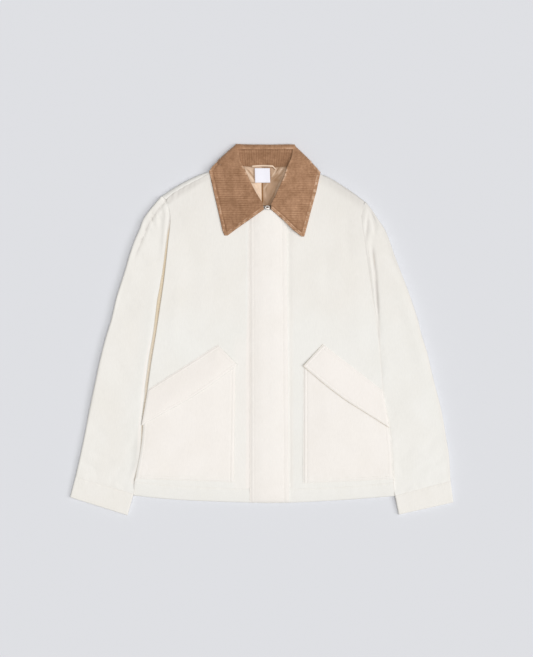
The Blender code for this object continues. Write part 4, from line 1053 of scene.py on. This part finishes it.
def makeLeaf():
    lines = leafLines()
    across = [0.0, 0.006, 0.018, 0.035]
    while across[-1] < 0.93:
        across.append(across[-1] + leafCut["across"])
    across += [0.965, 0.982, 0.994, 1.0]
    lastI, lastJ = len(lines) - 1, len(across) - 1
    middles = [[leafPlace(line, q) for q in across] for line in lines]
    frontEdges = leafCut["inRight"][:4], leafCut["inLeft"][:4]
    halfCloth, edgeRow = leafCut["cloth"] / 2, leafCut["border"]
    borders, swells = [], []
    for i, row in enumerate(middles):
        borders.append([])
        swells.append([])
        for j, place in enumerate(row):
            toRim = min((row[j] - row[0]).length, (row[j] - row[-1]).length, (place - middles[0][j]).length,
                        (place - middles[-1][j]).length)
            side = 0 if i < lastI / 2 else 1
            toFront = nearLine(frontEdges[side], place.x, place.y) if lines[i]["turned"] < 0.5 else 99.0
            toOuter = (row[j] - row[-1]).length
            if lines[i]["turned"] < 0.3:
                toOuter = min(toOuter, nearLine(leafCut["outRight" if side == 0 else "outLeft"], place.x, place.y))
            border = min(toFront, toOuter)
            inBorder = rise(edgeRow + 1.2, edgeRow - 0.4, border)
            # the wales' colour: painted shade between the wales, fainter in the border
            wave = ribs(lines[i]["phase"]) ** 0.8
            clear = mix(0.62, 0.2, rise(285, 330, place.y)) * max(0.2, 0.75 + 1.3 * uneven(place.x, place.y, 24, 8.8))
            wale = mix(mix(0.5, wave, clear), 0.35 * wave + 0.4, inBorder)
            streaks = uneven(place.x, place.y / 6, 5, 2.7)
            colour = 0.62 * wale + 0.18 * streaks + 0.10 * side
            # painted shade along the inner side of the border's stitch row
            colour *= 1 - 0.75 * hump(border, edgeRow + 0.9, 0.9)
            # painted highlight along the collar's roll line, then painted highlights on the border's ridges, broken
            # into patches
            roll = hump((row[j] - row[0]).length, 2.0, 1.8) * rise(276, 300, place.y)
            roll *= 1 - 0.6 * rise(0.9, 1, lines[i]["turned"])
            colour += (0.58 * hump(border, edgeRow - 1.3, 1.0) + 0.50 * hump(border, 1.7, 1.2)
                       + 0.8 * roll) * max(0.1, 0.75 + 1.5 * uneven(place.x, place.y, 6, 1.1))
            # painted shadow line along the outer edge of the leaf's right half
            colour -= 1.6 * hump(toOuter, 0, 0.8) * (1 - side) * rise(300, 280, place.y)
            borders[i].append(min(1.0, max(0.0, colour)))
            rim = 1.0 - dome(toRim, 1.8)
            dip = 0.95 * hump(border, edgeRow, 1.2)
            puff = 0.45 * hump(border, edgeRow - 3.0, 2.2) + 0.3 * hump(border, edgeRow + 3.0, 2.2)
            swells[i].append(leafCut["waleHeight"] * (wale - 1.0) * 0.9 - rim * (halfCloth - 0.35) - dip + puff
                             + 0.3 * uneven(place.x, place.y, 22, 3.3))

    def away(i, j):
        along = middles[min(i + 3, lastI)][j] - middles[max(i - 3, 0)][j]
        acrossWay = middles[i][min(j + 1, lastJ)] - middles[i][max(j - 1, 0)]
        return along.cross(acrossWay).normalized()

    def overGround(place):
        return Vector((place.x, place.y, max(0.0, place.z)))

    def outer(u, v):
        i, j = round(u), round(v)
        return overGround(middles[i][j] + away(i, j) * (halfCloth + swells[i][j]))

    def inner(u, v):
        i, j = round(u), round(v)
        row = middles[i]
        rim = 1.0 - dome(min((row[j] - row[0]).length, (row[j] - row[-1]).length), 1.8)
        return overGround(row[j] - away(i, j) * (halfCloth - rim * (halfCloth - 0.35)))

    piece = makeWall("collarLeaf", [float(i) for i in range(lastI + 1)], [float(j) for j in range(lastJ + 1)], outer,
                     inner, lambda u, v: borders[round(u)][round(v)], "tan_corduroy")


makeLeaf()

standCut = {"cloth": 2.4, "wale": 4.4, "waleHeight": 0.34, "wide": 106, "samples": 6, "flat": (0.106, 0.036),
            "low": (-45, 57, 315.6), "high": (-49, 63, 351.0),
            "ends": {"from": 246, "to": 304, "wide": 15.0, "wales": 12, "flat": (0.015, 0.066)}}


def makeStandBack():
    last = standCut["samples"] * round(standCut["wide"] / standCut["wale"])
    (lowRight, lowLeft, lowY), (topRight, topLeft, topY) = standCut["low"], standCut["high"]

    def wave(u):
        return ribs(u / standCut["samples"]) ** 0.8

    def place(u, v):
        share = u / last
        low = Vector((mix(lowRight, lowLeft, share), lowY + 3 * (2 * share - 1) ** 4))
        spot = low.lerp(Vector((mix(topRight, topLeft, share), topY - gap)), v)
        hollow = -0.9 * hump(v, 0.92, 0.1) + 0.8 * uneven(spot.x, spot.y, 24, 5.0) * math.sin(math.pi * v)
        ends = 3.2 * rise(0.38, 0.5, abs(share - 0.5)) * rise(0.75, 0.3, v)
        return Vector((spot.x, spot.y, mix(standLow, leafCut["backZ"] - 0.4, v**0.8) + hollow + ends))

    def outer(u, v):
        return place(u, v) + Vector((0, 0, standCut["waleHeight"] * wave(u) - 0.7 * (1 - dome(v * 30, 2.0))))

    def tone(u, v):
        # painted shade between the wales and at the stand's left end, with a lighter band a little below the top,
        # mottled at random
        toneBand = 0.30 * hump(v, 0.84, 0.05) + 0.24 * uneven(u, v * 30, 17, 2.0)
        return -0.02 + 0.30 * wave(u) + toneBand - 0.2 * rise(0.85, 1.0, u / last) * v

    piece = makeWall("collarStandBack", [float(i) for i in range(last + 1)], shares(31, 2.0), outer,
                     lambda u, v: place(u, v) - Vector((0, 0, standCut["cloth"])), tone, "tan_corduroy")


def makeStandEnd(side, line, sign):  # the short end seen beside the zip
    ends, count = standCut["ends"], 6 * standCut["ends"]["wales"]

    def face(z, ribbed):
        def at(u, v):
            y = mix(ends["from"], ends["to"], v)
            up = standCut["waleHeight"] * (ribs(v * ends["wales"]) - 1) if ribbed else 0.0
            return Vector((xAt(line, y) + sign * mix(1.0, ends["wide"], u), y, z + up))

        return at

    # the ends' tone is painted shade between the wales
    piece = makeWall("collarStand" + side, shares(14, 2.5), [i / count for i in range(count + 1)],
                     face(onFront + standCut["cloth"], True), face(onFront, False),
                     lambda u, v: ribs(v * ends["wales"]), "tan_corduroy")


makeStandBack()
makeStandEnd("Right", leafCut["inRight"][3:], -1)
makeStandEnd("Left", leafCut["inLeft"][4:], 1)

print("making the lining, loop and label")

liningCut = {"inset": 0.6, "cloth": 1.0, "pleatX": -0.5, "pleatRise": 2.2, "tilt": 1.6, "curl": 5.9,
             "flat": (0.122, 0.086), "area": 0.0058}
liningFolds = [
    ((-34, 313), (-13, 285), 2.2, 1.5, 1), ((-27, 314), (-13, 292), 1.8, -1.8, -1),
    ((-20, 308), (-13, 300), 1.6, 1.2, 0), ((17, 291), (36, 314), 2.0, 1.8, -1),
    ((21, 290), (44, 313), 1.8, -1.8, -1), ((28, 292), (46, 308), 2.0, 1.4, -1), ((18, 286), (40, 298), 3.0, -1.0, 1),
    ((12, 284), (7, 262), 3, 1.3, 1), ((27, 278), (17, 254), 3, 0.9, -1),
]
liningTones = [  # painted highlights and shade on the satin's creases
    ((-33, 311), (-15.6, 286), 1.5, 0.35, 0), ((-30, 311), (-16, 294), 1.3, -0.55, 1),
    ((-22.8, 310), (-15.6, 297), 1.2, 0.25, 0), ((-16.2, 311), (-16.2, 291), 1.0, -0.4, 0),
    ((-24, 285.3), (-11, 283.6), 1.0, -0.6, 0), ((16.8, 312), (16.8, 290), 1.2, -0.2, 0),
    ((18, 295), (29, 312), 1.4, 0.6, -1), ((25, 303), (33, 313), 1.1, -0.3, 0),
    ((32, 302), (40.5, 314), 1.4, 0.45, 0), ((48, 313), (40, 294), 2.4, 0.3, 0), ((40, 296), (21, 249), 3.0, 0.42, 1),
    ((12, 284), (4, 272), 1.7, 0.35, 0), ((4.5, 274), (7, 254), 2.2, 0.25, 0), ((21, 293), (39, 285), 4.0, -0.1, 0),
    ((27, 268), (21, 255), 2.4, -0.14, 0),
]


def makeLining():
    topEdge = [(x, y + 2.4) for x, y in neckBack]
    inset = liningCut["inset"]
    right = [(x + inset, y) for x, y in neckRight[::-1]]
    left = [(x - inset, y) for x, y in neckLeft[::-1]]
    right[0], left[0] = (zipX - 2, 237), (zipX + 2, 237)
    right[-1], left[-1] = (topEdge[0][0] + 3, topEdge[0][1]), (topEdge[-1][0] - 3, topEdge[-1][1])
    topEdge[0], topEdge[-1] = right[-1], left[-1]
    plan = fourSided([right[0], left[0]], topEdge, right, left)

    def pleatX(y):
        return liningCut["pleatX"] + 0.4 * rise(284, 250, y)

    def top(x, y, u, v):
        line = pleatX(y)
        pleat = liningCut["pleatRise"] * rise(line - 22, line - 1.2, x) * rise(line + 0.5, line - 0.6, x)
        folds = pleat * rise(0.0, 0.15, v) + liningCut["tilt"] * rise(line, line + 36, x)
        folds = (folds + foldHeight(liningFolds, x, y) + 0.3 * uneven(x, y, 13, 2.5)) * rise(320, 314, y)
        toLeaf = min(xAt(leafCut["inLeft"], y) - x, x - xAt(leafCut["inRight"], y))
        curl = liningCut["curl"] * rise(9, -1, toLeaf) * rise(318, 306, y)
        return backTop + gap + liningCut["cloth"] + max(folds, curl)

    def lightSide(u, v):
        x, y = plan(u, v)
        line = pleatX(y)
        # painted light on the pleat's raised side and painted shade on the other; painted shade under the collar's
        # foot and in the pleat's fold
        light = rise(line + 1.0, line - 0.5, x) * (1 - 0.3 * rise(282, 288, y))
        seen = max(light, 0.30, 0.40 * rise(288, 304, y)) + foldHeight(liningTones, x, y)
        return seen - 0.2 * rise(312, 316, y) - 1.1 * hump(x, line + 0.6, 1.1) * rise(288, 280, y) * rise(240, 252, y)

    us, vs = shares(118, 1.6, (57.5, 59.5, 61.0), (0.6, 1.6)), shares(82, 1.6, (), (0.6, 1.6))
    return flatPiece("liningBack", us, vs, plan, top, lambda x, y, u, v: backTop + gap, lightSide, "sand_satin")[0]


lining = makeLining()

labelCut = {"centre": (0.9, 298.5), "size": (29.5, 28.5), "cloth": 0.8, "rest": 11.4, "flat": (0.0295, 0.0285)}


def makeLabel():
    (labelX, labelY), (wide, high) = labelCut["centre"], labelCut["size"]

    def side(thick):
        def at(u, v):
            edge = min(min(u, 1 - u) * wide, min(v, 1 - v) * high)
            up = labelCut["rest"] + 0.5 * math.sin(math.pi * v) + 0.25 * math.sin(2.2 * math.pi * u + 0.6)
            up += thick + thick * (dome(edge, 0.7) - 1) * 0.6
            return Vector((labelX + mix(-wide, wide, u) / 2 + 0.8 * (0.5 - v), labelY + mix(-high, high, v) / 2, up))

        return at

    us, vs, top = shares(wide, 1.2, (), (0.3, 0.8)), shares(high, 1.2, (), (0.3, 0.8)), side(labelCut["cloth"])
    piece = makeWall("neckLabel", us, vs, top, side(0.0), slot="white_label")
    sewRows("labelStitches", [(top, (0.02, 0.95), (0.98, 0.95)), (top, (0.02, 0.05), (0.98, 0.05))])


makeLabel()

loopCut = {"span": (-21.0, 27.0), "y": 316.6, "width": 3.2, "rise": 1.8, "cloth": 1.2}


def makeLoop():
    def side(thick):
        def at(u, v):
            edge = min(v, 1 - v) * loopCut["width"]
            z = standLow + gap + loopCut["rise"] * math.sin(math.pi * u) ** 0.5 + 0.3 * math.sin(u * 9)
            y = loopCut["y"] + 1.2 * math.sin(math.pi * u) - 0.6 - 5.0 * rise(0.86, 1.0, u)
            return Vector((mix(*loopCut["span"], u), y + mix(-1, 1, v) * loopCut["width"] / 2,
                           z + thick * mix(0.45, 1.0, dome(edge, 1.0))))

        return at

    # painted shade at the loop's first end
    return makeWall("hangerLoop", shares(47, 1.2, (), (0.4, 1.0)), shares(5, 0.8, (), (0.2, 0.6)),
                    side(loopCut["cloth"]), side(0.0), lambda u, v: 1.0 - 0.8 * rise(0.08, 0.0, u), "sand_satin")


loop = makeLoop()

print("making the zip")

zipCut = {"tape": 26.0, "low": -308.0, "high": 229.7, "cloth": 0.7, "bead": 0.5, "flat": (0.026, 0.538),
          "tooth": {"wide": 4.3, "pitch": 2.5, "radii": (0.62, 0.45), "z": 1.45}}
sliderCut = {"x": zipX - 0.9, "y": 235.8, "wide": 9.4, "long": 7.4}
pullCut = {"wide": 5.5, "long": 21.0, "thick": 1.3, "rim": 0.6, "dish": 0.25, "under": 6.0}


def moved(x, y, z, size=(1, 1, 1)):
    return Matrix.Translation((x, y, z)) @ Matrix.Diagonal((*size, 1))


def addBlock(shape, centre, size, soft=0.25, segments=1):
    made = bmesh.ops.create_cube(shape, size=1.0, matrix=moved(*centre, size))
    edges = list({edge for vert in made["verts"] for edge in vert.link_edges})
    bmesh.ops.bevel(shape, geom=edges, offset=soft, affect="EDGES", segments=segments, profile=0.5, material=-1)


def makeTape():
    half, low, high = zipCut["tape"] / 2, zipCut["low"], zipCut["high"]

    def side(thick):
        def at(u, v):
            x = zipX + mix(-half, half, u)
            beads = zipCut["bead"] * hump(abs(x - zipX), 3.4, 0.8) if thick else 0.0
            return Vector((x, mix(low, high, v), onFront + thick + beads))

        return at

    us, vs = shares(zipCut["tape"], 1.4, (9.6, -9.6), (0.4, 1.0)), shares(537, 12.0)
    piece = makeWall("zipTape", us, vs, side(zipCut["cloth"]), side(0.0), slot="zip_tape")
    tooth, teeth = zipCut["tooth"], bmesh.new()
    for i in range(int((high - 4 - low) / tooth["pitch"])):
        sign = 1 if i % 2 else -1
        turned = Matrix.Rotation(sign * math.pi / 2, 4, "Y") @ Matrix.Diagonal((1.3, 1, 1, 1))
        spot = moved(zipX + sign * 0.9, low + 2 + i * tooth["pitch"], onFront + tooth["z"])
        bmesh.ops.create_cone(teeth, cap_ends=True, segments=6, radius1=tooth["radii"][0],
                              radius2=tooth["radii"][1], depth=tooth["wide"], matrix=spot @ turned)
    finishPiece("zipTeeth", teeth, "nickel", sharp=30)


def makeSlider():
    slider, x, y, wide = bmesh.new(), sliderCut["x"], sliderCut["y"], sliderCut["wide"]
    inside = slider.verts.layers.float.new("shade")
    addBlock(slider, (x + 0.6, y, onFront + 0.5), (wide + 2.2, sliderCut["long"], 1.0), 0.4, 3)
    # the base plate carries the painted shadow
    for vert in slider.verts:
        vert[inside] = 1.0
    addBlock(slider, (x, y - 2.7, onFront + 2.9), (wide - 0.6, 2.2, 1.3), 0.25, 2)
    addBlock(slider, (x - 0.1, y + 2.4, onFront + 2.8), (wide - 4.0, 1.7, 1.0), 0.45, 3)
    for sign in (-1, 1):
        addBlock(slider, (x + sign * 3.2, y + 0.2, onFront + 2.5), (1.7, 4.6, 0.9), 0.4, 2)
    bridge = bmesh.ops.create_grid(slider, x_segments=3, y_segments=1, size=0.5,
                                   matrix=moved(x, y + 1.4, onFront + 2.6, (2.2, 0.8, 1)))
    faces = list({face for vert in bridge["verts"] for face in vert.link_faces})
    bmesh.ops.spin(slider, geom=faces, cent=(x, y + 2.5, onFront + 2.6), axis=(1, 0, 0), angle=-math.pi, steps=14)
    bmesh.ops.recalc_face_normals(slider, faces=slider.faces)
    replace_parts(finishPiece("zipSlider", slider, "nickel", sharp=35), "zip_slider")


def makePull():
    pull, wide, long = bmesh.new(), pullCut["wide"], pullCut["long"]
    centreY = sliderCut["y"] - pullCut["under"] - long / 2 - gap
    bmesh.ops.create_circle(pull, cap_ends=True, segments=32, radius=1.0)
    bmesh.ops.scale(pull, vec=(wide / 2, long / 2, 1), verts=pull.verts)
    for vert in pull.verts:
        vert.co.x *= 1.0 + 0.18 * (vert.co.y < 0)
    bmesh.ops.translate(pull, vec=(zipX, centreY, onFront + 1.3), verts=pull.verts)
    made = bmesh.ops.extrude_face_region(pull, geom=pull.faces[:])["geom"]
    top = [part for part in made if isinstance(part, bmesh.types.BMVert)]
    bmesh.ops.translate(pull, vec=(0, 0, pullCut["thick"]), verts=top)
    caps = [face for face in pull.faces if len(face.verts) > 4]
    bmesh.ops.inset_region(pull, faces=caps, thickness=pullCut["rim"], depth=-pullCut["dish"])
    bmesh.ops.recalc_face_normals(pull, faces=pull.faces)
    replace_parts(finishPiece("zipPull", pull, "nickel", sharp=35), "zip_pull")


makeTape()
makeSlider()
makePull()

print("setting up the floor, lights and camera")

studio = {"floor": (0.700, 0.717, 0.752), "world": (1.0, 0.955, 0.87), "worldStrength": 0.235,
          "lamps": [("overhead", 1.83, 34.0, (0.10, -0.05, 1.0)), ("side", 1.00, 30.0, (0.88, -0.08, 1.0))],
          "lampTint": (1.0, 0.995, 1.008), "cameraX": 8.8, "cameraHeight": 3.5, "middle": 0.012, "tall": 1.281,
          "sensor": 24.0}

floorShape = bmesh.new()
bmesh.ops.create_grid(floorShape, x_segments=2, y_segments=2, size=6.0)
floor = link("floor", meshOf("floor", floorShape))
floor.location.z = -0.0003
floor.data.materials.append(newLook("pale_floor", studio["floor"], 0.95, Specular_IOR_Level=0.0))

world = bpy.data.worlds.new("studio")
bpy.context.scene.world = world
world.use_nodes = True
background = world.node_tree.nodes["Background"].inputs
background["Color"].default_value = (*studio["world"], 1)
background["Strength"].default_value = studio["worldStrength"]

for name, energy, soft, direction in studio["lamps"]:
    lampData = bpy.data.lights.new(name, "SUN")
    lampData.energy = energy
    lampData.angle = math.radians(soft)
    lampData.color = studio["lampTint"]
    link(name, lampData).rotation_euler = Vector(direction).to_track_quat("Z", "Y").to_euler()

cameraData = bpy.data.cameras.new("camera")
cameraData.sensor_fit = "VERTICAL"
cameraData.sensor_height = studio["sensor"]
cameraData.lens = studio["sensor"] * (studio["cameraHeight"] - studio["middle"]) / studio["tall"]
camera = link("camera", cameraData)
camera.location = (studio["cameraX"] * mm, 0, studio["cameraHeight"])
bpy.context.scene.camera = camera
bpy.context.scene.view_settings.view_transform = "Standard"
